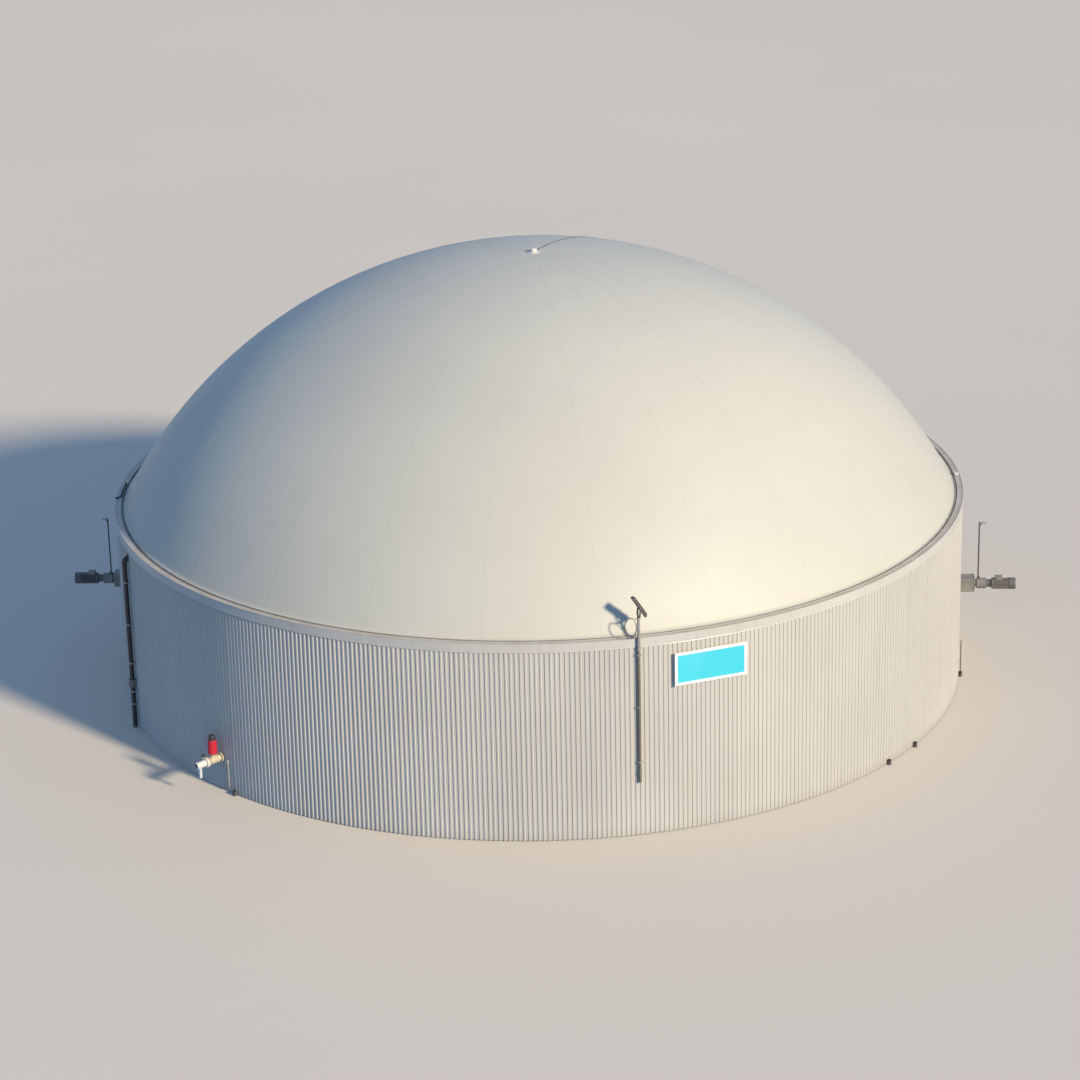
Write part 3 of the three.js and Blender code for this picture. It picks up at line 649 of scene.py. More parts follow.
moulded_white = new_finish("moulded_white", (0.60, 0.595, 0.565), (0.53, 0.525, 0.495), 0.38, 3.0, bump=(0.08, 0.001))
stain(moulded_white, rain_streaks, 0.22, (0.30, 0.28, 0.24), Scale=12.0, Length=0.2, From=0.5, To=0.85)
plate = turned(
    "crown_plate",
    [(13.352, 0), (13.352, 0.19), (13.3585, 0.1985), (13.368, 0.2), (13.374, 0.195), (13.375, 0.185), (13.375, 0)],
    (0, 0, 0), (0, 0, 1), 48,
)
cap = turned(
    "crown_cap",
    [(13.37, 0), (13.37, 0.112), (13.386, 0.11), (13.39, 0.104), (13.45, 0.1), (13.468, 0.088), (13.478, 0.06), (13.48, 0)],
    (0, 0, 0), (0, 0, 1), 36,
)
paint(moulded_white, plate, cap)
lug = block("belt_lug", (0.16, -0.028, 13.368), (0.199, 0.028, 13.39))
paint(zinc, lug)
swing(155, lug)
crown = joined("crown_plate", plate, cap, lug, *copies(bolt(0.016, zinc), ring_of(12, (0, 0, 13.3745), 0.158, (0, 0, 1), 15)))
fix(crown, "white_plastic", "crown_fitting")


# Gauge belt: flat black webbing from the crown plate down the back of the dome to the head of the
# level gauge. It lies on the fabric as far as it can, then runs straight, held taut by a weight in
# the gauge.
BELT_LEAVES = 40.48
belt_way = [on_dome(0.86 + (BELT_LEAVES - 0.86) * i / 34, 0.0065) for i in range(35)]
tube_head = (13.0745, 6.866)
belt_way += [
    tuple(a + (b - a) * i / 10 for a, b in zip(belt_way[34], tube_head)) for i in range(1, 11)
]
belt = drawn("gauge_belt_webbing", [(radius, -0.02, height) for radius, height in belt_way])
bpy.ops.mesh.extrude_region_move(TRANSFORM_OT_translate={"value": (0, 0.04, 0)})
bpy.ops.mesh.select_all(action="SELECT")
bpy.ops.mesh.normals_make_consistent(inside=False)
only(belt)
webbing = belt.modifiers.new("webbing", "SOLIDIFY")
webbing.thickness = 0.005
webbing.offset = 0
bpy.ops.object.modifier_apply(modifier="webbing")
finished(belt, 30)
black_webbing = new_finish(
    "black_webbing", (0.17, 0.165, 0.155), (0.12, 0.115, 0.105), 0.75, 1.5, grain=(500.0, 0.4), bump=(0.5, 0.001)
)
paint(black_webbing, belt)
swing(155, belt)
fix(belt, "black_rubber", "gauge_belt")
belt_path = [at(radius, 155, height) for radius, height in belt_way]


# Level gauge: a closed white tube on two arms, with a collared head that the belt runs into. A
# weight on the belt rides up and down inside it. Its foot plate is bolted to the wall.
tube_body = turned(
    "gauge_tube",
    [(5.35, 0), (5.35, 0.085), (5.356, 0.096), (5.366, 0.1), (6.80, 0.1), (6.826, 0.103), (6.832, 0.111),
     (6.838, 0.115), (6.872, 0.115), (6.882, 0.11), (6.888, 0.098), (6.89, 0.08), (6.89, 0)],
    (13.19, 0, 0), (0, 0, 1), 32,
)
bands = [
    turned("gauge_band", [(z, 0.0995), (z, 0.104), (z + 0.03, 0.104), (z + 0.03, 0.0995)], (13.19, 0, 0), (0, 0, 1), 32)
    for z in (5.41, 5.58)
]
arms = [block("gauge_arm", (12.995, -0.03, z), (13.105, 0.03, z + 0.05)) for z in (5.40, 5.57)]
gauge_foot = block("gauge_foot", (12.985, -0.06, 5.38), (13.02, 0.06, 5.64))
belt_mouth = block("belt_mouth", (13.07, -0.032, 6.848), (13.1, 0.032, 6.884))
paint(moulded_white, tube_body)
paint(zinc, *bands, *arms, gauge_foot)
paint(hose_rubber, belt_mouth)
foot_bolts = copies(bolt(0.016, zinc), [facing((13.02, y, z), (1, 0, 0)) for y in (-0.045, 0.045) for z in (5.395, 5.51, 5.625)])
gauge = joined("gauge_tube", tube_body, *bands, *arms, gauge_foot, belt_mouth, *foot_bolts)
fix(swing(155, gauge), "white_plastic", "level_gauge")


# Lamp mast: a steel pipe on three bracketed clamps. The lower length is painted dark brown, with a
# pipe collar near its foot, and a sleeve under the rim joins it to a galvanised upper length.
# Paint rubbed through along outer edges.
worn_edges, given, result = effect("worn_edges", "Mask", Scale=30.0)
sharpness = add(worn_edges, "ShaderNodeNewGeometry").outputs["Pointiness"]
chips = add(worn_edges, "ShaderNodeTexNoise", {"Vector": given["Vector"], "Scale": given["Scale"], "Detail": 4.0})
chipped = add(worn_edges, "ShaderNodeMath", {0: sharpness, 1: 20.0, 2: chips.outputs[0]}, operation="MULTIPLY_ADD")
worn_edges.links.new(eased(worn_edges, chipped.outputs[0], 11.1, 11.35), result["Mask"])

brown_paint = new_finish("brown_mast_paint", (0.125, 0.10, 0.066), (0.155, 0.128, 0.09), 0.55, 2.5, bump=(0.15, 0.001))
stain(brown_paint, rain_streaks, 0.5, (0.24, 0.15, 0.085), Scale=9.0, Length=0.08, From=0.52, To=0.8)
stain(brown_paint, worn_edges, 0.6, (0.30, 0.27, 0.23), Scale=35.0)
galvanised = new_finish(
    "galvanised_steel", (0.40, 0.385, 0.36), (0.27, 0.26, 0.25), 0.5, 16.0, metallic=0.55, bump=(0.1, 0.001)
)
stain(galvanised, rain_streaks, 0.35, (0.22, 0.16, 0.11), Scale=8.0, Length=0.1, From=0.5, To=0.8)
lower_mast = turned(
    "mast_lower",
    [(1.66, 0), (1.66, 0.036), (1.664, 0.04), (1.90, 0.04), (1.904, 0.05), (1.935, 0.05), (1.94, 0.044), (1.98, 0.044),
     (1.985, 0.05), (2.016, 0.05), (2.02, 0.04), (5.62, 0.04)],
    (13.075, 0, 0), (0, 0, 1),
)
paint(brown_paint, lower_mast)
upper_mast = turned(
    "mast_upper",
    [(5.60, 0.0405), (5.61, 0.0405), (5.613, 0.048), (5.765, 0.048), (5.77, 0.04), (6.574, 0.04), (6.58, 0.036), (6.58, 0)],
    (13.075, 0, 0), (0, 0, 1),
)
paint(galvanised, upper_mast)


def wall_clamp(name, x, radius, z, width, half, metal):
    """A two-part clamp round an upright pipe, with bolted ears, on a bracket bolted to the wall."""
    ring = turned(
        "clamp_ring",
        [(z, radius), (z, radius + 0.006), (z + 0.003, radius + 0.008), (z + half * 2 - 0.003, radius + 0.008),
         (z + half * 2, radius + 0.006), (z + half * 2, radius)],
        (x, 0, 0), (0, 0, 1),
    )
    ears = [block("clamp_ear", (x - 0.009, y, z + 0.004), (x + 0.009, y + 0.03, z + half * 2 - 0.004), 0.002)
            for y in (radius + 0.004, -radius - 0.034)]
    web = block("clamp_web", (12.985, -0.006, z + 0.003), (x - radius - 0.002, 0.006, z + half * 2 - 0.003), 0.002)
    plate = block("clamp_plate", (12.983, -width, z), (13.008, width, z + half * 2), 0.002)
    nuts = copies(bolt(0.012, zinc), [
        facing((x + 0.009, y, z + half), (1, 0, 0)) for y in (radius + 0.022, -radius - 0.022)
    ] + [facing((13.008, y, z + half), (1, 0, 0)) for y in (width - 0.01, 0.01 - width)])
    paint(metal, ring, *ears, web, plate)
    return joined(name, ring, *ears, web, plate, *nuts)


clamps = [wall_clamp("mast_clamp", 13.075, 0.04, z, 0.03, 0.025, galvanised) for z in (2.25, 3.9, 5.45)]
lower_mast = joined("mast_lower", lower_mast, *clamps)
fix(swing(11.6, lower_mast), "dark_paint", "lamp_mast")
fix(swing(11.6, upper_mast), "dark_paint")


# Floodlight: a long cast housing with cooling fins behind and a glass front, hung between the arms
# of a U bracket that is bolted on top of the mast. It is turned on its cross bar to shine down along
# the wall.
dark_paint = new_finish("dark_lamp_paint", (0.045, 0.042, 0.038), (0.07, 0.065, 0.06), 0.5, 4.0, bump=(0.2, 0.001))
stain(dark_paint, worn_edges, 0.5, (0.25, 0.235, 0.21), Scale=40.0)
lamp_glass = new_finish("lamp_glass", (0.55, 0.57, 0.58), (0.48, 0.50, 0.51), 0.12, 6.0, bump=(0.02, 0.0005))
lamp_glass.node_tree.nodes["Principled BSDF"].inputs["Coat Weight"].default_value = 0.8
LAMP_AXLE = Vector((13.075, 0.29 * math.sin(rad(5)), 6.6103 + 0.29 * math.cos(rad(5))))
housing = block("lamp_housing", (-0.12, -0.33, -0.026), (0.12, 0.33, 0.055), 0.014, bordered=False)
shape(housing)
choose("FACE", lambda middle, way: max(abs(share) for share in way) > 0.99)
bpy.ops.mesh.inset(thickness=0.005, use_individual=True)
choose("FACE", lambda middle, way: way.z > 0.99 and middle.z > 0.054 and abs(middle.x) + abs(middle.y) < 0.01)
bpy.ops.mesh.inset(thickness=0.017)
bpy.ops.transform.translate(value=(0, 0, -0.008))
bpy.ops.mesh.inset(thickness=0.004)
paint(dark_paint, finished(housing, 40))
pane = block("lamp_pane", (-0.084, -0.294, 0.045), (0.084, 0.294, 0.051), 0.002)
paint(lamp_glass, pane)
fin = block("lamp_fin", (-0.105, -0.0025, -0.055), (0.105, 0.0025, -0.024), 0.0015)
paint(dark_paint, fin)
fins = copies(fin, [Matrix.Translation((0, -0.285 + 0.0335 * i, 0)) for i in range(18)])
hubs = [
    turned("lamp_hub", [(0.118, 0), (0.118, 0.026), (0.126, 0.024), (0.1325, 0.02), (0.1325, 0)], (0, 0, 0), (side, 0, 0))
    for side in (-1, 1)
]
gland = turned("lamp_gland", [(-0.336, 0), (-0.336, 0.012), (-0.33, 0.016), (-0.31, 0.016)], (0.05, 0, 0.01), (0, 1, 0), 12)
paint(dark_paint, *hubs, gland)
lamp_head = joined("lamp_head", housing, pane, *fins, *hubs, gland)
lamp_head.matrix_world = Matrix.Translation(LAMP_AXLE) @ Matrix.Rotation(rad(122.7), 4, "X")
only(lamp_head)
bpy.ops.object.transform_apply(location=True, rotation=True, scale=True)

saddle = block("bracket_saddle", (-0.14, -0.025, 0), (0.14, 0.025, 0.008), 0.0025)
bracket_arms = [block("bracket_arm", (x, -0.025, 0.001), (x + 0.0075, 0.025, 0.31), 0.003) for x in (0.1322, -0.1397)]
knobs = copies(bolt(0.024, zinc), [
    facing((0.1285 * side, 0, 0.29), (side, 0, 0)) for side in (-1, 1)
])
paint(dark_paint, saddle, *bracket_arms)
bracket = joined("lamp_bracket", saddle, *bracket_arms, *knobs)
bracket.matrix_world = Matrix.Translation((13.075, 0, 6.6103)) @ Matrix.Rotation(rad(-5), 4, "X")
only(bracket)
bpy.ops.object.transform_apply(location=True, rotation=True, scale=True)
socket = turned(
    "lamp_socket",
    [(6.5803, 0), (6.5803, 0.045), (6.606, 0.045), (6.6115, 0.04), (6.618, 0.03), (6.622, 0)],
    (13.075, 0, 0), (0, 0, 1),
)
paint(dark_paint, socket)
lamp = joined("lamp_head", lamp_head, bracket, socket)
fix(swing(11.6, lamp), "dark_paint", "floodlight")


# Cable coil: spare lamp cable, 16 mm thick. It comes out of the mast above the rim, hangs beside it
# in an oval coil of almost three turns held by ties, and goes back into the mast.
CABLE = 0.016
coil_middle = Vector((13.075, -0.2283, 6.2846))
COIL_HALF_WIDTH, COIL_HALF_HEIGHT, STRAND = 0.17, 0.289, 0.0096
COIL_START, COIL_END = 80, 990
coil_route = []
for i in range(96):
    turn = COIL_START + (COIL_END - COIL_START) * i / 95
    out = Vector((0, math.cos(rad(turn)), math.sin(rad(turn))))
    across = Vector((0, out.y * COIL_HALF_HEIGHT, out.z * COIL_HALF_WIDTH)).normalized()
    swirl = rad((turn - COIL_START) / 3)
    centre = coil_middle + Vector((0, out.y * COIL_HALF_WIDTH, out.z * COIL_HALF_HEIGHT))
    coil_route.append(centre + (across * math.cos(swirl) + Vector((1, 0, 0)) * math.sin(swirl)) * STRAND)
out_of_mast = Vector((13.075, -0.042, 6.53))
into_mast = Vector((13.075, -0.042, 5.996))


def lead(start, away, end, along, steps):
    """Points of a smooth run from a start, leaving one way, to an end, arriving another way."""
    points = []
    for i in range(steps):
        t = i / steps
        points.append(
            (2 * t**3 - 3 * t**2 + 1) * start + (t**3 - 2 * t**2 + t) * away
            + (3 * t**2 - 2 * t**3) * end + (t**3 - t**2) * along
        )
    return points


first_way = (coil_route[1] - coil_route[0]).normalized()
last_way = (coil_route[-1] - coil_route[-2]).normalized()
route = lead(out_of_mast, Vector((0, -0.16, 0)), coil_route[0], first_way * 0.16, 10)
route += coil_route
route += lead(coil_route[-1], last_way * 0.16, into_mast, Vector((0, 0.16, 0)), 10)[1:] + [into_mast]


def hose_along(name, points, thickness, finish, azimuth):
    """A round cord along a line of points, as a curve of one open spline, swung to its azimuth."""
    turn = Matrix.Rotation(rad(azimuth - 90), 4, "Z")
    curve = bpy.data.curves.new(name, "CURVE")
    curve.dimensions = "3D"
    curve.bevel_depth = thickness / 2
    curve.bevel_resolution = 4
    curve.use_fill_caps = True
    line = curve.splines.new("POLY")
    line.points.add(len(points) - 1)
    for spot, point in zip(line.points, points):
        spot.co = (*(turn @ Vector(point)), 1)
    cord = bpy.data.objects.new(name, curve)
    bpy.context.scene.collection.objects.link(cord)
    curve.materials.append(finish)
    return cord, sum((Vector(b) - Vector(a)).length for a, b in zip(points, points[1:])), turn @ Vector(points[0])


cable_sheath = new_finish("cable_sheath", (0.11, 0.095, 0.08), (0.155, 0.14, 0.12), 0.55, 8.0, bump=(0.15, 0.0005))
cable, cable_length, cable_exit = hose_along("lamp_cable", route, CABLE, cable_sheath, 11.6)
fix(cable, "black_rubber", "cable_coil")
ties = []
for turn in (20, 110, 200, 285):
    out = Vector((0, math.cos(rad(turn)), math.sin(rad(turn))))
    way = Vector((0, -out.z * COIL_HALF_WIDTH, out.y * COIL_HALF_HEIGHT))
    spot = coil_middle + Vector((0, out.y * COIL_HALF_WIDTH, out.z * COIL_HALF_HEIGHT))
    ties.append(turned(
        "cable_tie", [(-0.004, 0.0178), (-0.004, 0.0198), (0.004, 0.0198), (0.004, 0.0178), (-0.004, 0.0178)],
        spot, way.normalized(), 16
    ))
glands = [
    turned("cable_gland", [(-0.004, 0.017), (0.004, 0.017), (0.006, 0.014), (0.013, 0.011), (0.015, 0.0082)],
           (13.075, -0.04, z), (0, -1, 0), 12)
    for z in (6.53, 5.996)
]
hook = turned("coil_hook", [(6.20, 0.0402), (6.20, 0.0425), (6.212, 0.0425), (6.212, 0.0402)], (13.075, 0, 0), (0, 0, 1))
paint(cable_sheath, *ties, *glands, hook)
holders = swing(11.6, joined("cable_ties", *ties, *glands, hook))
fix(holders, "black_rubber")


# Sign: a flat aluminium tray, white with a cyan field and no lettering, riveted to two upright
# channels on the wall. The field is set a little into the border.
sign_white = new_finish("sign_white", (0.70, 0.70, 0.70), (0.66, 0.66, 0.66), 0.35, 1.2, bump=(0.04, 0.001))
sign_cyan = new_finish("sign_cyan", (0.05, 0.50, 0.59), (0.06, 0.53, 0.62), 0.3, 0.9, bump=(0.03, 0.001))
stain(sign_cyan, rain_streaks, 0.12, (0.28, 0.47, 0.56), Scale=5.0, Length=0.1, From=0.5, To=0.85)
panel = block("sign_tray", (13.040, -1.09, 4.42), (13.0615, 1.09, 5.40), bordered=False)
panel.data.materials.append(sign_white)
panel.data.materials.append(sign_cyan)
shape(panel)
choose("FACE", lambda middle, way: way.x > 0.99)
bpy.ops.mesh.inset(thickness=0.085)
bpy.ops.mesh.inset(thickness=0.002)
bpy.ops.transform.translate(value=(-0.0015, 0, 0))
panel.active_material_index = 1
bpy.ops.object.material_slot_assign()
choose("FACE", lambda middle, way: way.x < -0.99)
bpy.ops.mesh.inset(thickness=0.002)
bpy.ops.transform.translate(value=(0.017, 0, 0))
finished(panel, 30)
rivets = copies(
    turned("sign_rivet", [(-0.001, 0.008), (0.0006, 0.008), (0.0022, 0.005), (0.0026, 0)], (0, 0, 0), steps=10),
    [Matrix.Translation((13.0614, y, z)) for y in (-0.8, -0.76, 0.76, 0.8) for z in (4.45, 5.37)],
)
paint(zinc, *rivets)
tray = swing(20.8, joined("sign_tray", panel, *rivets))
fix(tray, "sign_face", "sign_panel")
for side, y in (("left", -0.78), ("right", 0.78)):
    channel = block(f"sign_channel_{side}", (12.99 - 0.004, y - 0.02, 4.44), (13.0397, y + 0.02, 5.38), 0.002, bordered=False)
    shape(channel)
    choose("FACE", lambda middle, way: abs(way.y) > 0.99)
    bpy.ops.mesh.inset(thickness=0.005)
    bpy.ops.transform.resize(value=(1, 0.12, 1), center_override=(13.01, y, 4.9))
    paint(galvanised, finished(channel, 30))
    fix(swing(20.8, channel), "stainless", f"sign_rail_{side}")


# Gas pipe: black polyethylene pipe, 140 mm across, up the wall on clamps and through a socketed
# elbow into the wall under the rim. A valve between flanges sits above the second clamp.
pipe_plastic = new_finish("black_polyethylene", (0.018, 0.019, 0.021), (0.03, 0.031, 0.033), 0.42, 1.6, grain=(60.0, 0.1))
stain(pipe_plastic, rain_streaks, 0.4, (0.13, 0.125, 0.115), Scale=7.0, Length=0.08, From=0.5, To=0.8)
stain(pipe_plastic, splashed_soil, 0.5, (0.20, 0.165, 0.125), Height=0.12)
PIPE_X = 13.12
lower_pipe = turned(
    "gas_pipe_foot", [(0, 0), (0, 0.07), (0.62, 0.07), (0.622, 0.0735), (0.634, 0.0735), (0.636, 0.07), (1.3285, 0.07), (1.3285, 0)],
    (PIPE_X, 0, 0), (0, 0, 1), 28,
)
paint(pipe_plastic, lower_pipe)
pipe_clamps = [wall_clamp("gas_clamp", PIPE_X, 0.07, z - 0.025, 0.035, 0.025, galvanised) for z in (0.78, 1.18)]
fix(swing(-70.5, joined("gas_pipe_foot", lower_pipe, *pipe_clamps)), "black_plastic", "gas_pipe_lower")

riser = turned(
    "gas_pipe_riser",
    [(1.5715, 0), (1.5715, 0.07), (3.0, 0.07), (3.002, 0.0735), (3.014, 0.0735), (3.016, 0.07), (5.22, 0.07), (5.225, 0.079),
     (5.325, 0.079), (5.33, 0.07)],
    (PIPE_X, 0, 0), (0, 0, 1), 28,
)
only()
bpy.ops.mesh.primitive_circle_add(vertices=28, radius=0.074, location=(PIPE_X, 0, 5.325))
elbow = bpy.context.object
bpy.ops.object.transform_apply(location=True, rotation=True, scale=True)
shape(elbow)
bpy.ops.mesh.spin(steps=10, angle=rad(90), center=(PIPE_X - 0.12, 0, 5.33), axis=(0, 1, 0))
bpy.ops.mesh.select_all(action="SELECT")
bpy.ops.mesh.fill_holes(sides=28)
bpy.ops.mesh.normals_make_consistent(inside=False)
finished(elbow, 50)
spigot = turned(
    "gas_pipe_spigot",
    [(12.96, 0.07), (12.985, 0.079), (13.004, 0.079), (13.004, 0.12), (13.008, 0.125), (13.0135, 0.125), (13.014, 0.079),
     (13.055, 0.079), (13.058, 0.072)],
    (0, 0, 5.45), (1, 0, 0), 28,
)
paint(pipe_plastic, riser, elbow, spigot)
collar_bolts = copies(bolt(0.012, zinc), ring_of(4, (13.0135, 0, 5.45), 0.104, (1, 0, 0), 45))
pipe_clamps = [wall_clamp("gas_clamp", PIPE_X, 0.07, z - 0.025, 0.035, 0.025, galvanised) for z in (2.1, 3.34, 4.7)]
riser = joined("gas_pipe_riser", riser, elbow, spigot, *collar_bolts, *pipe_clamps)
fix(swing(-70.5, riser), "black_plastic", "gas_pipe_upper")


# Gas valve: a cast butterfly valve held between two flanges by eight long bolts, with a spindle and
# a flat hand lever pointing along the wall.
valve_grey = new_finish("dark_valve_grey", (0.135, 0.14, 0.135), (0.10, 0.105, 0.10), 0.45, 2.5, bump=(0.2, 0.001))
stain(valve_grey, rain_streaks, 0.3, (0.17, 0.13, 0.09), Scale=8.0, Length=0.15, From=0.5, To=0.8)
stain(valve_grey, worn_edges, 0.55, (0.26, 0.25, 0.23), Scale=30.0)
valve_body = turned(
    "gas_valve_body",
    [(1.3303, 0), (1.3303, 0.109), (1.3333, 0.112), (1.357, 0.112), (1.3603, 0.109), (1.3603, 0.082), (1.375, 0.078),
     (1.40, 0.088), (1.405, 0.09), (1.495, 0.09), (1.50, 0.088), (1.525, 0.078), (1.5397, 0.082), (1.5397, 0.109),
     (1.543, 0.112), (1.5667, 0.112), (1.5697, 0.109), (1.5697, 0)],
    (PIPE_X, 0, 0), (0, 0, 1), 32,
)
spindle = turned(
    "valve_spindle", [(13.19, 0), (13.19, 0.03), (13.225, 0.03), (13.23, 0.018), (13.282, 0.018), (13.285, 0.015), (13.285, 0)],
    (0, 0, 1.45), (1, 0, 0), 16,
)
lever = block("valve_lever", (13.267, -0.018, 1.437), (13.283, 0.188, 1.463), 0.004)
shape(lever)
choose("FACE", lambda middle, way: way.y > 0.99)
bpy.ops.transform.resize(value=(0.75, 1, 0.7))
finished(lever, 40)
studs = copies(bolt(0.018, zinc), ring_of(8, (PIPE_X, 0, 1.3585), 0.098, (0, 0, 1), 22.5)
               + [place @ Matrix.Rotation(rad(180), 4, "Z") for place in ring_of(8, (PIPE_X, 0, 1.5415), 0.098, (0, 0, 1), 22.5)])
rods = copies(
    turned("stud_rod", [(1.35, 0.005), (1.55, 0.005)], (0, 0, 0), (0, 0, 1), 8),
    [Matrix.Translation((PIPE_X + 0.098 * math.cos(rad(22.5 + 45 * i)), 0.098 * math.sin(rad(22.5 + 45 * i)), 0)) for i in range(8)],
)
paint(valve_grey, valve_body)
paint(galvanised, spindle, lever)
paint(zinc, *rods)
valve = joined("gas_valve_body", valve_body, spindle, lever, *studs, *rods)
fix(swing(-70.5, valve), "grey_paint", "gas_valve")


# Side stirrers, one on each side of the wall: a grey box welded up from plate stands on the wall and
# carries a flanged gear housing and a finned motor in line, with a hoisting post above. One is
# modelled at +X and copied to both sides.
STIRRER = 2.8
edge_grey = new_finish("dark_box_edges", (0.095, 0.09, 0.08), (0.13, 0.12, 0.105), 0.5, 3.0, bump=(0.2, 0.001))
stain(edge_grey, worn_edges, 0.5, (0.34, 0.32, 0.28), Scale=30.0)
drive_grey = new_finish("light_drive_grey", (0.235, 0.22, 0.19), (0.20, 0.188, 0.16), 0.42, 2.5, bump=(0.2, 0.001))
stain(drive_grey, rain_streaks, 0.35, (0.22, 0.18, 0.14), Scale=8.0, Length=0.2, From=0.5, To=0.8)
stain(drive_grey, worn_edges, 0.5, (0.14, 0.125, 0.11), Scale=30.0)
gear_dark = new_finish("dark_gear_paint", (0.09, 0.085, 0.077), (0.12, 0.114, 0.103), 0.48, 2.5, bump=(0.2, 0.001))
stain(gear_dark, worn_edges, 0.5, (0.32, 0.30, 0.27), Scale=35.0)

box = block("stirrer_box", (12.96, -0.218, STIRRER - 0.218), (13.40, 0.218, STIRRER + 0.218), 0.008, bordered=False)
shape(box)
choose("FACE", lambda middle, way: abs(way.x) < 0.1 and (abs(way.y) > 0.99 or abs(way.z) > 0.99) and abs(middle.x - 13.18) < 0.05)
bpy.ops.mesh.inset(thickness=0.006, use_individual=True)
bpy.ops.mesh.inset(thickness=0.039, use_individual=True)
bpy.ops.mesh.inset(thickness=0.006, use_individual=True)
bpy.ops.transform.resize(value=(1, 0.975, 0.975), center_override=(13.18, 0, STIRRER))
finished(box, 35)
front = block("box_front", (13.40, -0.225, STIRRER - 0.225), (13.42, 0.225, STIRRER + 0.225), 0.004)
back = block("box_back", (12.975, -0.225, STIRRER - 0.225), (13.012, 0.225, STIRRER + 0.225), 0.004)
paint(drive_grey, box)
paint(edge_grey, front, back)
front_bolts = copies(bolt(0.02, zinc), [
    facing((13.42, y, STIRRER + z), (1, 0, 0)) for y in (-0.205, 0.205) for z in (-0.205, 0.205)
])
box = joined("stirrer_box", box, front, back, *front_bolts)

gear = turned(
    "stirrer_gear",
    [(13.4203, 0), (13.4203, 0.212), (13.4233, 0.215), (13.442, 0.215), (13.4453, 0.212), (13.4453, 0.128), (13.45, 0.12),
     (13.496, 0.12), (13.5, 0.125), (13.5, 0.155), (13.506, 0.165), (13.532, 0.165), (13.538, 0.157), (13.60, 0.157),
     (13.604, 0.165), (13.63, 0.165), (13.634, 0.157), (13.722, 0.157), (13.728, 0.165), (13.754, 0.165), (13.76, 0.16), (13.76, 0)],
    (0, 0, STIRRER), (1, 0, 0), 40,
)
rib_plate = block("gear_rib", (13.537, -0.005, 0.15), (13.725, 0.005, 0.1645), 0.002)
paint(drive_grey, gear, rib_plate)
rib_plates = copies(rib_plate, [
    Matrix.Translation((0, 0, STIRRER)) @ Matrix.Rotation(rad(22.5 + 45 * i), 4, "X") for i in range(8)
])
gear_bolts = copies(bolt(0.02, zinc), ring_of(12, (13.4453, 0, STIRRER), 0.187, (1, 0, 0), 15))
gear = joined("stirrer_gear", gear, *rib_plates, *gear_bolts)

motor = turned(
    "stirrer_motor",
    [(13.7603, 0), (13.7603, 0.162), (13.7633, 0.165), (13.782, 0.165), (13.7853, 0.162), (13.7853, 0.13), (13.80, 0.12),
     (13.94, 0.12), (13.955, 0.13), (13.96, 0.168), (13.964, 0.172), (13.995, 0.172), (14.0, 0.168), (14.005, 0.15),
     (14.50, 0.15), (14.503, 0.178), (14.508, 0.18), (14.672, 0.18), (14.692, 0.172), (14.70, 0.155), (14.70, 0.12),
     (14.694, 0.115), (14.694, 0)],
    (0, 0, STIRRER), (1, 0, 0), 40,
)
paint(gear_dark, motor)
fin = block("motor_fin", (14.0, -0.0025, 0.145), (14.502, 0.0025, 0.176), 0.0015)
paint(drive_grey, fin)
motor_fins = copies(fin, [
    Matrix.Translation((0, 0, STIRRER)) @ Matrix.Rotation(rad(10 * i), 4, "X") for i in range(3, 34)
])
cowl_bar = block("cowl_bar", (14.6935, -0.112, -0.003), (14.6985, 0.112, 0.003), 0.001)
paint(zinc, cowl_bar)
cowl_bars = copies(cowl_bar, [
    Matrix.Translation((0, 0, STIRRER)) @ Matrix.Rotation(rad(45 * i), 4, "X") for i in range(4)
])
terminal = block("terminal_box", (14.05, -0.09, STIRRER + 0.12), (14.28, 0.09, STIRRER + 0.228), 0.008)
terminal_lid = block("terminal_lid", (14.046, -0.094, STIRRER + 0.228), (14.284, 0.094, STIRRER + 0.244), 0.005)
lid_screws = copies(bolt(0.01, zinc), [
    facing((x, y, STIRRER + 0.244), (0, 0, 1)) for x in (14.058, 14.272) for y in (-0.082, 0.082)
])
entry = turned("cable_entry", [(-0.115, 0), (-0.115, 0.012), (-0.108, 0.017), (-0.09, 0.017)], (14.11, 0, STIRRER + 0.18), (0, 1, 0), 12)
paint(drive_grey, terminal, terminal_lid)
paint(hose_rubber, entry)
adapter_bolts = copies(bolt(0.018, zinc), ring_of(8, (13.7853, 0, STIRRER), 0.146, (1, 0, 0), 22.5))
motor = joined(
    "stirrer_motor", motor, *motor_fins, *cowl_bars, terminal, terminal_lid, *lid_screws, entry, *adapter_bolts
)

post = turned(
    "hoist_post",
    [(2.966, 0), (2.966, 0.034), (2.985, 0.036), (3.02, 0.036), (3.03, 0.024), (3.034, 0.022), (4.792, 0.022), (4.80, 0.018),
     (4.80, 0)],
    (13.545, 0, 0), (0, 0, 1), 28,
)
hoist_foot = block("hoist_foot", (13.505, -0.06, 2.957), (13.605, 0.06, 2.988), 0.004)
hoist_arm = block("hoist_arm", (13.52, -0.018, 4.76), (13.735, 0.018, 4.80), 0.004)
shape(hoist_arm)
choose("FACE", lambda middle, way: way.x > 0.99)
bpy.ops.transform.resize(value=(1, 0.8, 0.6), center_override=(13.735, 0, 4.80))
finished(hoist_arm, 30)
brace = extruded("hoist_brace", [(13.562, -0.004, 4.66), (13.566, -0.004, 4.762), (13.64, -0.004, 4.762)], (0, 0.008, 0))
finished(brace, 20)
eye_ring = turned(
    "hoist_eye",
    [(0.004 * math.sin(rad(45 * i)), 0.016 + 0.004 * math.cos(rad(45 * i))) for i in range(9)],
    (13.715, 0, 4.752), (0, 1, 0), 16,
)
paint(dark_paint, post, hoist_foot, brace)
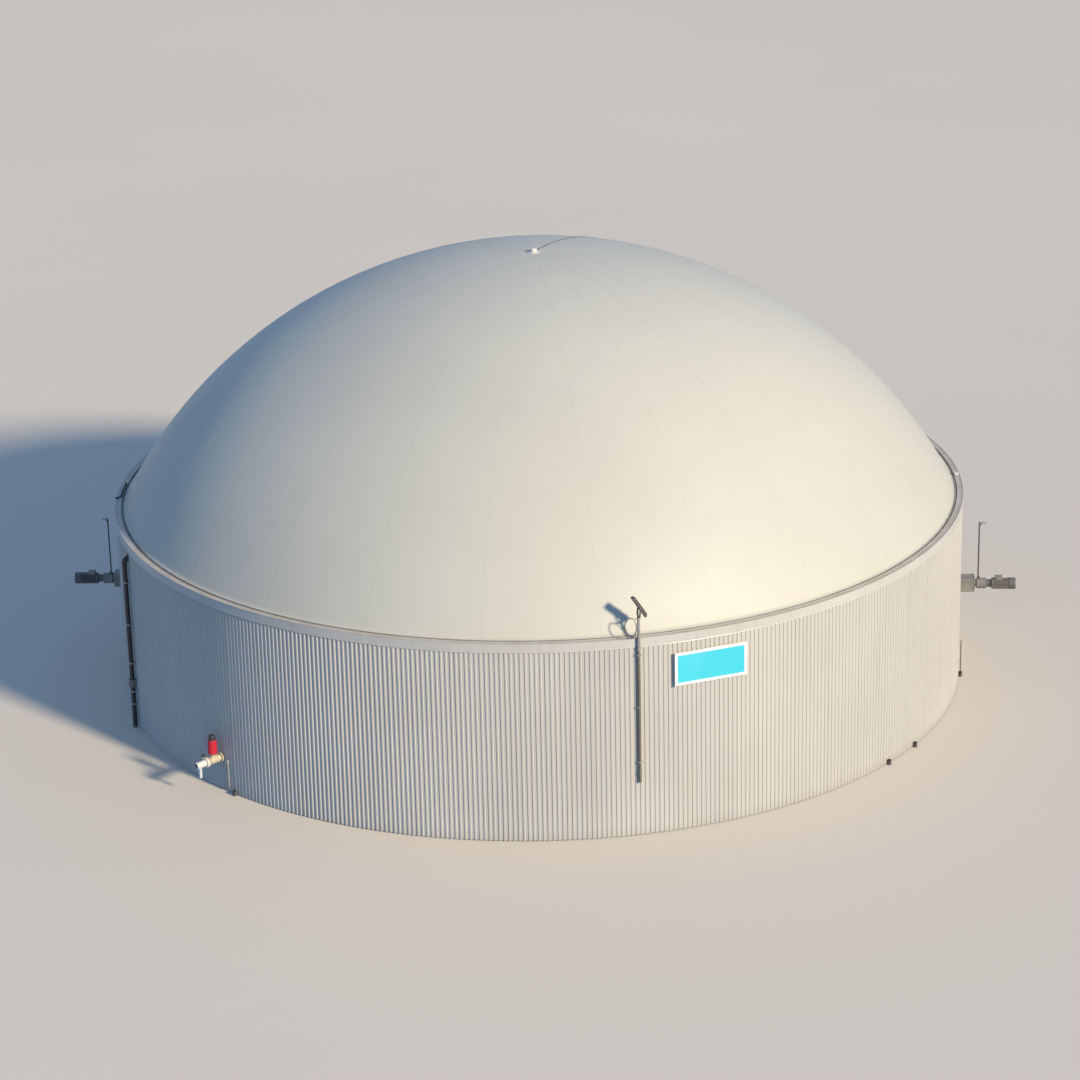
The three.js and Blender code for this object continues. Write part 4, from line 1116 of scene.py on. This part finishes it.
paint(galvanised, hoist_arm, eye_ring)
foot_bolts = copies(bolt(0.014, zinc), [
    facing((x, y, 2.988), (0, 0, 1)) for x in (13.515, 13.595) for y in (-0.045, 0.045)
])
hoist = joined("hoist_post", post, hoist_foot, hoist_arm, brace, eye_ring, *foot_bolts)

both_sides = round_tank(-94, 85)
for part, slot in ((box, "box"), (gear, "gear"), (motor, "motor"), (hoist, "davit")):
    name = part.name
    for side, made in zip(("left", "right"), copies(part, both_sides)):
        made.name = f"{name}_{side}"
        fix(made, "dark_paint" if slot == "davit" else "grey_paint", f"mixer_{side}_{slot}")


# Drain: a flanged valve on a stub through the wall, with a red upright actuator under a black cap. A
# short white pipe is bolted to it and ends open, with a vent cock on top and a spout below.
DRAIN = 1.05
cream_paint = new_finish("cream_valve_paint", (0.52, 0.47, 0.33), (0.45, 0.41, 0.29), 0.42, 3.0, bump=(0.2, 0.001))
stain(cream_paint, rain_streaks, 0.4, (0.25, 0.18, 0.11), Scale=8.0, Length=0.15, From=0.5, To=0.8)
stain(cream_paint, worn_edges, 0.6, (0.16, 0.13, 0.10), Scale=30.0)
red_paint = new_finish("red_actuator_paint", (0.52, 0.012, 0.03), (0.44, 0.01, 0.025), 0.42, 2.5, bump=(0.15, 0.001))
red_paint.node_tree.nodes["Principled BSDF"].inputs["Specular IOR Level"].default_value = 0.3
stain(red_paint, rain_streaks, 0.3, (0.20, 0.05, 0.04), Scale=9.0, Length=0.15, From=0.5, To=0.8)
stain(red_paint, worn_edges, 0.5, (0.25, 0.20, 0.17), Scale=35.0)
valve_shell = turned(
    "drain_valve_body",
    [(12.97, 0), (12.97, 0.085), (13.038, 0.085), (13.04, 0.147), (13.043, 0.15), (13.077, 0.15), (13.08, 0.147),
     (13.082, 0.088), (13.12, 0.088), (13.14, 0.118), (13.16, 0.122), (13.20, 0.122), (13.206, 0.114), (13.434, 0.114),
     (13.44, 0.122), (13.455, 0.118), (13.475, 0.09), (13.506, 0.088), (13.51, 0.147), (13.513, 0.15), (13.557, 0.15),
     (13.56, 0.147), (13.56, 0)],
    (0, 0, DRAIN), (1, 0, 0), 36,
)
bonnet = turned(
    "valve_bonnet", [(1.10, 0.058), (1.19, 0.058), (1.195, 0.06), (1.225, 0.06), (1.23, 0.045), (1.25, 0.045), (1.25, 0)],
    (13.32, 0, 0), (0, 0, 1), 24,
)
paint(cream_paint, valve_shell, bonnet)
stub_bolts = copies(bolt(0.022, zinc), ring_of(8, (13.08, 0, DRAIN), 0.125, (1, 0, 0), 22.5)
                    + ring_of(8, (13.51, 0, DRAIN), 0.125, (-1, 0, 0), 22.5))
drain_valve = joined("drain_valve_body", valve_shell, bonnet, *stub_bolts)
fix(swing(-45.8, drain_valve), "cream_paint", "drain_valve")

actuator = turned(
    "drain_actuator_body",
    [(1.2503, 0), (1.2503, 0.10), (1.262, 0.128), (1.27, 0.135), (1.33, 0.135), (1.336, 0.129), (1.344, 0.129), (1.35, 0.135),
     (1.50, 0.135), (1.506, 0.129), (1.514, 0.129), (1.52, 0.135), (1.64, 0.135), (1.664, 0.128), (1.676, 0.11), (1.68, 0)],
    (13.32, 0, 0), (0, 0, 1), 32,
)
actuator_rib = block("actuator_rib", (0.125, -0.004, 1.352), (0.1345, 0.004, 1.498), 0.0015)
paint(red_paint, actuator, actuator_rib)
actuator_ribs = copies(actuator_rib, [
    Matrix.Translation((13.32, 0, 0)) @ Matrix.Rotation(rad(30 * i), 4, "Z") for i in range(12)
])
actuator_cap = turned(
    "actuator_cap",
    [(1.676, 0.101), (1.68, 0.105), (1.72, 0.105), (1.726, 0.099), (1.80, 0.096), (1.83, 0.086), (1.846, 0.06), (1.85, 0.03),
     (1.85, 0)],
    (13.32, 0, 0), (0, 0, 1), 28,
)
paint(pipe_plastic, actuator_cap)
cap_bolts = copies(bolt(0.014, zinc), ring_of(6, (13.32, 0, 1.672), 0.118, (0, 0, 1), 30))
actuator = joined("drain_actuator_body", actuator, *actuator_ribs, actuator_cap, *cap_bolts)
fix(swing(-45.8, actuator), "red_paint", "drain_actuator")

outlet = turned(
    "drain_outlet",
    [(13.5603, 0), (13.5603, 0.147), (13.5633, 0.15), (13.617, 0.15), (13.6203, 0.147), (13.6203, 0.106), (13.628, 0.10),
     (13.944, 0.10), (13.95, 0.097), (13.95, 0.087), (13.947, 0.084), (13.7303, 0.084), (13.7303, 0)],
    (0, 0, DRAIN), (1, 0, 0), 36,
)
spout = turned(
    "drain_spout",
    [(0.9645, 0.045), (0.80, 0.045), (0.797, 0.05), (0.775, 0.05), (0.772, 0.045), (0.653, 0.045), (0.65, 0.043), (0.65, 0.037),
     (0.655, 0.035), (0.90, 0.035), (0.90, 0)],
    (13.80, 0, 0), (0, 0, 1), 24,
)
cock = turned(
    "vent_cock", [(1.12, 0.022), (1.16, 0.022), (1.163, 0.028), (1.19, 0.028), (1.193, 0.022), (1.272, 0.022)],
    (13.67, 0, 0), (0, 0, 1), 16,
)
knob = turned(
    "vent_knob", [(1.27, 0), (1.27, 0.044), (1.276, 0.05), (1.336, 0.05), (1.346, 0.044), (1.35, 0.03), (1.35, 0)],
    (13.67, 0, 0), (0, 0, 1), 20,
)
paint(moulded_white, outlet, spout)
paint(zinc, cock)
paint(pipe_plastic, knob)
outlet_bolts = copies(bolt(0.022, zinc), ring_of(8, (13.6203, 0, DRAIN), 0.125, (1, 0, 0), 22.5))
outlet = joined("drain_outlet", outlet, spout, cock, knob, *outlet_bolts)
fix(swing(-45.8, outlet), "white_plastic", "drain_pipe")


# Drain cable duct: a flat white plastic trunking on the wall, with a snapped-on cover held by clips,
# up to a small junction box with a screwed lid.
trunking = block("drain_trunking", (12.985, -0.0155, 0.17), (13.024, 0.0155, 0.935), 0.003)
cover = block("trunking_cover", (13.023, -0.0155, 0.172), (13.028, 0.0155, 0.93), 0.0015)
clips = [block("trunking_clip", (13.0, -0.016, z), (13.0279, 0.016, z + 0.014), 0.001) for z in (0.24, 0.48, 0.72)]
junction = block("junction_box", (12.985, -0.038, 0.932), (13.05, 0.038, 1.018), 0.005)
junction_lid = block("junction_lid", (13.05, -0.04, 0.93), (13.0585, 0.04, 1.02), 0.003)
# The white trunking is painted grey as painted shade, for the shade it lies in where the wall turns away from the
# light.
duct_painted_shade = new_finish("white_duct_painted_shade", (0.33, 0.33, 0.31), (0.27, 0.265, 0.25), 0.5, 4.0, bump=(0.1, 0.001))
stain(duct_painted_shade, rain_streaks, 0.4, (0.18, 0.16, 0.13), Scale=8.0, Length=0.15, From=0.5, To=0.8)
paint(duct_painted_shade, trunking, cover, *clips, junction, junction_lid)
lid_screws = copies(bolt(0.007, zinc), [
    facing((13.0568, y, z), (1, 0, 0)) for y in (-0.032, 0.032) for z in (0.938, 1.012)
])
trunking = joined("drain_trunking", trunking, cover, *clips, junction, junction_lid, *lid_screws)
fix(swing(-44.6, trunking), "white_plastic", "drain_conduit")


# Inspection tubes: short black pipes at the foot of the wall, closed by a rimmed cap with a grip
# bar. The one on the right also has a thin riser clipped to the wall under a small hood.
tube_wall = turned(
    "inspection_tube",
    [(0, 0), (0, 0.0585), (0.122, 0.0585), (0.122, 0.062), (0.146, 0.062), (0.15, 0.058), (0.15, 0.046), (0.14, 0.043),
     (0.14, 0)],
    (13.056, 0, 0), (0, 0, 1), 28,
)
grip = block("cap_grip", (13.012, -0.006, 0.137), (13.10, 0.006, 0.149), 0.002)
paint(pipe_plastic, tube_wall, grip)
tube = joined("inspection_tube", tube_wall, grip)
tubes = copies(tube, round_tank(-43.4, 50.2, 56.8, 81.6))
thin_riser = turned(
    "tube_riser", [(0.10, 0), (0.10, 0.014), (1.168, 0.014), (1.17, 0.0135), (1.196, 0.0135), (1.20, 0.009), (1.20, 0)],
    (13.06, 0, 0), (0, 0, 1), 14,
)
riser_clips = [block("riser_clip", (12.985, -0.012, z), (13.062, 0.012, z + 0.016), 0.002) for z in (0.5, 0.98)]
paint(pipe_plastic, thin_riser)
paint(zinc, *riser_clips)
thin_riser = swing(81.6, joined("tube_riser", thin_riser, *riser_clips))
tubes[3] = joined("inspection_tube", tubes[3], thin_riser)
for name, made in zip(("left", "front", "right", "riser"), tubes):
    made.name = f"inspection_tube_{name}"
    fix(made, "black_plastic", f"leak_tube_{name}")


# Rim hose: a black air hose, 44 mm thick, that comes out of a socket on the edge of the rim, bends
# back along the foot of the dome and goes down through a second socket in the ledge.
LYING = 5.9726
HOSE_LINE, HOSE_BEND = 12.875, 0.22


def over_ledge(radius, along):
    return Vector((radius * math.cos(along / radius), radius * math.sin(along / radius), LYING))


hose_route = []
bend_foot = HOSE_BEND * math.sin(rad(45)) - 0.2
bend_start = HOSE_LINE + HOSE_BEND * (1 - math.cos(rad(45)))
for i in range(5):
    out = (13.015 - bend_start) * (1 - i / 5)
    hose_route.append(over_ledge(bend_start + out, bend_foot + out))
for i in range(13):
    turn = rad(45 * (1 - i / 12))
    hose_route.append(over_ledge(HOSE_LINE + HOSE_BEND * (1 - math.cos(turn)), HOSE_BEND * math.sin(turn) - 0.2))
for i in range(1, 21):
    hose_route.append(over_ledge(HOSE_LINE, -0.2 - 1.15 * i / 20))
air_hose, hose_length, hose_exit = hose_along("rim_air_hose", hose_route, 0.044, hose_rubber, -88)
fix(air_hose, "black_rubber", "rim_hose")
socket_outline = [(-0.012, 0.0225), (-0.012, 0.028), (-0.008, 0.03), (0.03, 0.03), (0.034, 0.028), (0.034, 0.0225)]
edge_socket = turned("edge_socket", socket_outline, hose_route[0], (hose_route[1] - hose_route[0]).normalized(), 18)
end_socket = turned("end_socket", socket_outline, hose_route[-1], (hose_route[-2] - hose_route[-1]).normalized(), 18)
end_caps = [
    turned("socket_end", [(-0.014, 0), (-0.014, 0.024), (-0.01, 0.028), (-0.004, 0.028)], spot, way.normalized(), 18)
    for spot, way in ((hose_route[0], hose_route[1] - hose_route[0]), (hose_route[-1], hose_route[-2] - hose_route[-1]))
]
seats = [
    block("socket_seat", (spot.x - 0.02, spot.y - 0.02, 5.949), (spot.x + 0.02, spot.y + 0.02, LYING - 0.01), 0.002)
    for spot in (hose_route[0] + (hose_route[1] - hose_route[0]).normalized() * 0.02, hose_route[-1])
]
paint(pipe_plastic, edge_socket, end_socket, *end_caps, *seats)
sockets = swing(-88, joined("hose_sockets", edge_socket, end_socket, *end_caps, *seats))
fix(sockets, "black_plastic")


# Rim box: a small white moulded box screwed to the ledge on the right, with an overhanging lid and a
# dark inlet on its outer side.
rim_body = block("rim_box", (12.842, -0.048, 5.9503), (12.958, 0.048, 6.016), 0.006)
rim_lid = block("rim_box_lid", (12.832, -0.056, 6.0125), (12.968, 0.056, 6.032), 0.006, bordered=False)
shape(rim_lid)
choose("FACE", lambda middle, way: way.z > 0.99)
bpy.ops.mesh.inset(thickness=0.012)
bpy.ops.transform.translate(value=(0, 0, -0.002))
finished(rim_lid, 35)
inlet = turned("rim_box_inlet", [(12.95, 0), (12.95, 0.02), (12.966, 0.02), (12.968, 0.017), (12.962, 0.013), (12.962, 0)],
               (0, 0, 5.985), (1, 0, 0), 16)
paint(moulded_white, rim_body, rim_lid)
paint(pipe_plastic, inlet)
lid_screws = copies(bolt(0.009, zinc), [
    facing((x, y, 6.0305), (0, 0, 1)) for x in (12.838, 12.962) for y in (-0.05, 0.05)
])
rim_box = joined("rim_box", rim_body, rim_lid, inlet, *lid_screws)
fix(swing(89.8, rim_box), "white_plastic", "rim_fitting")
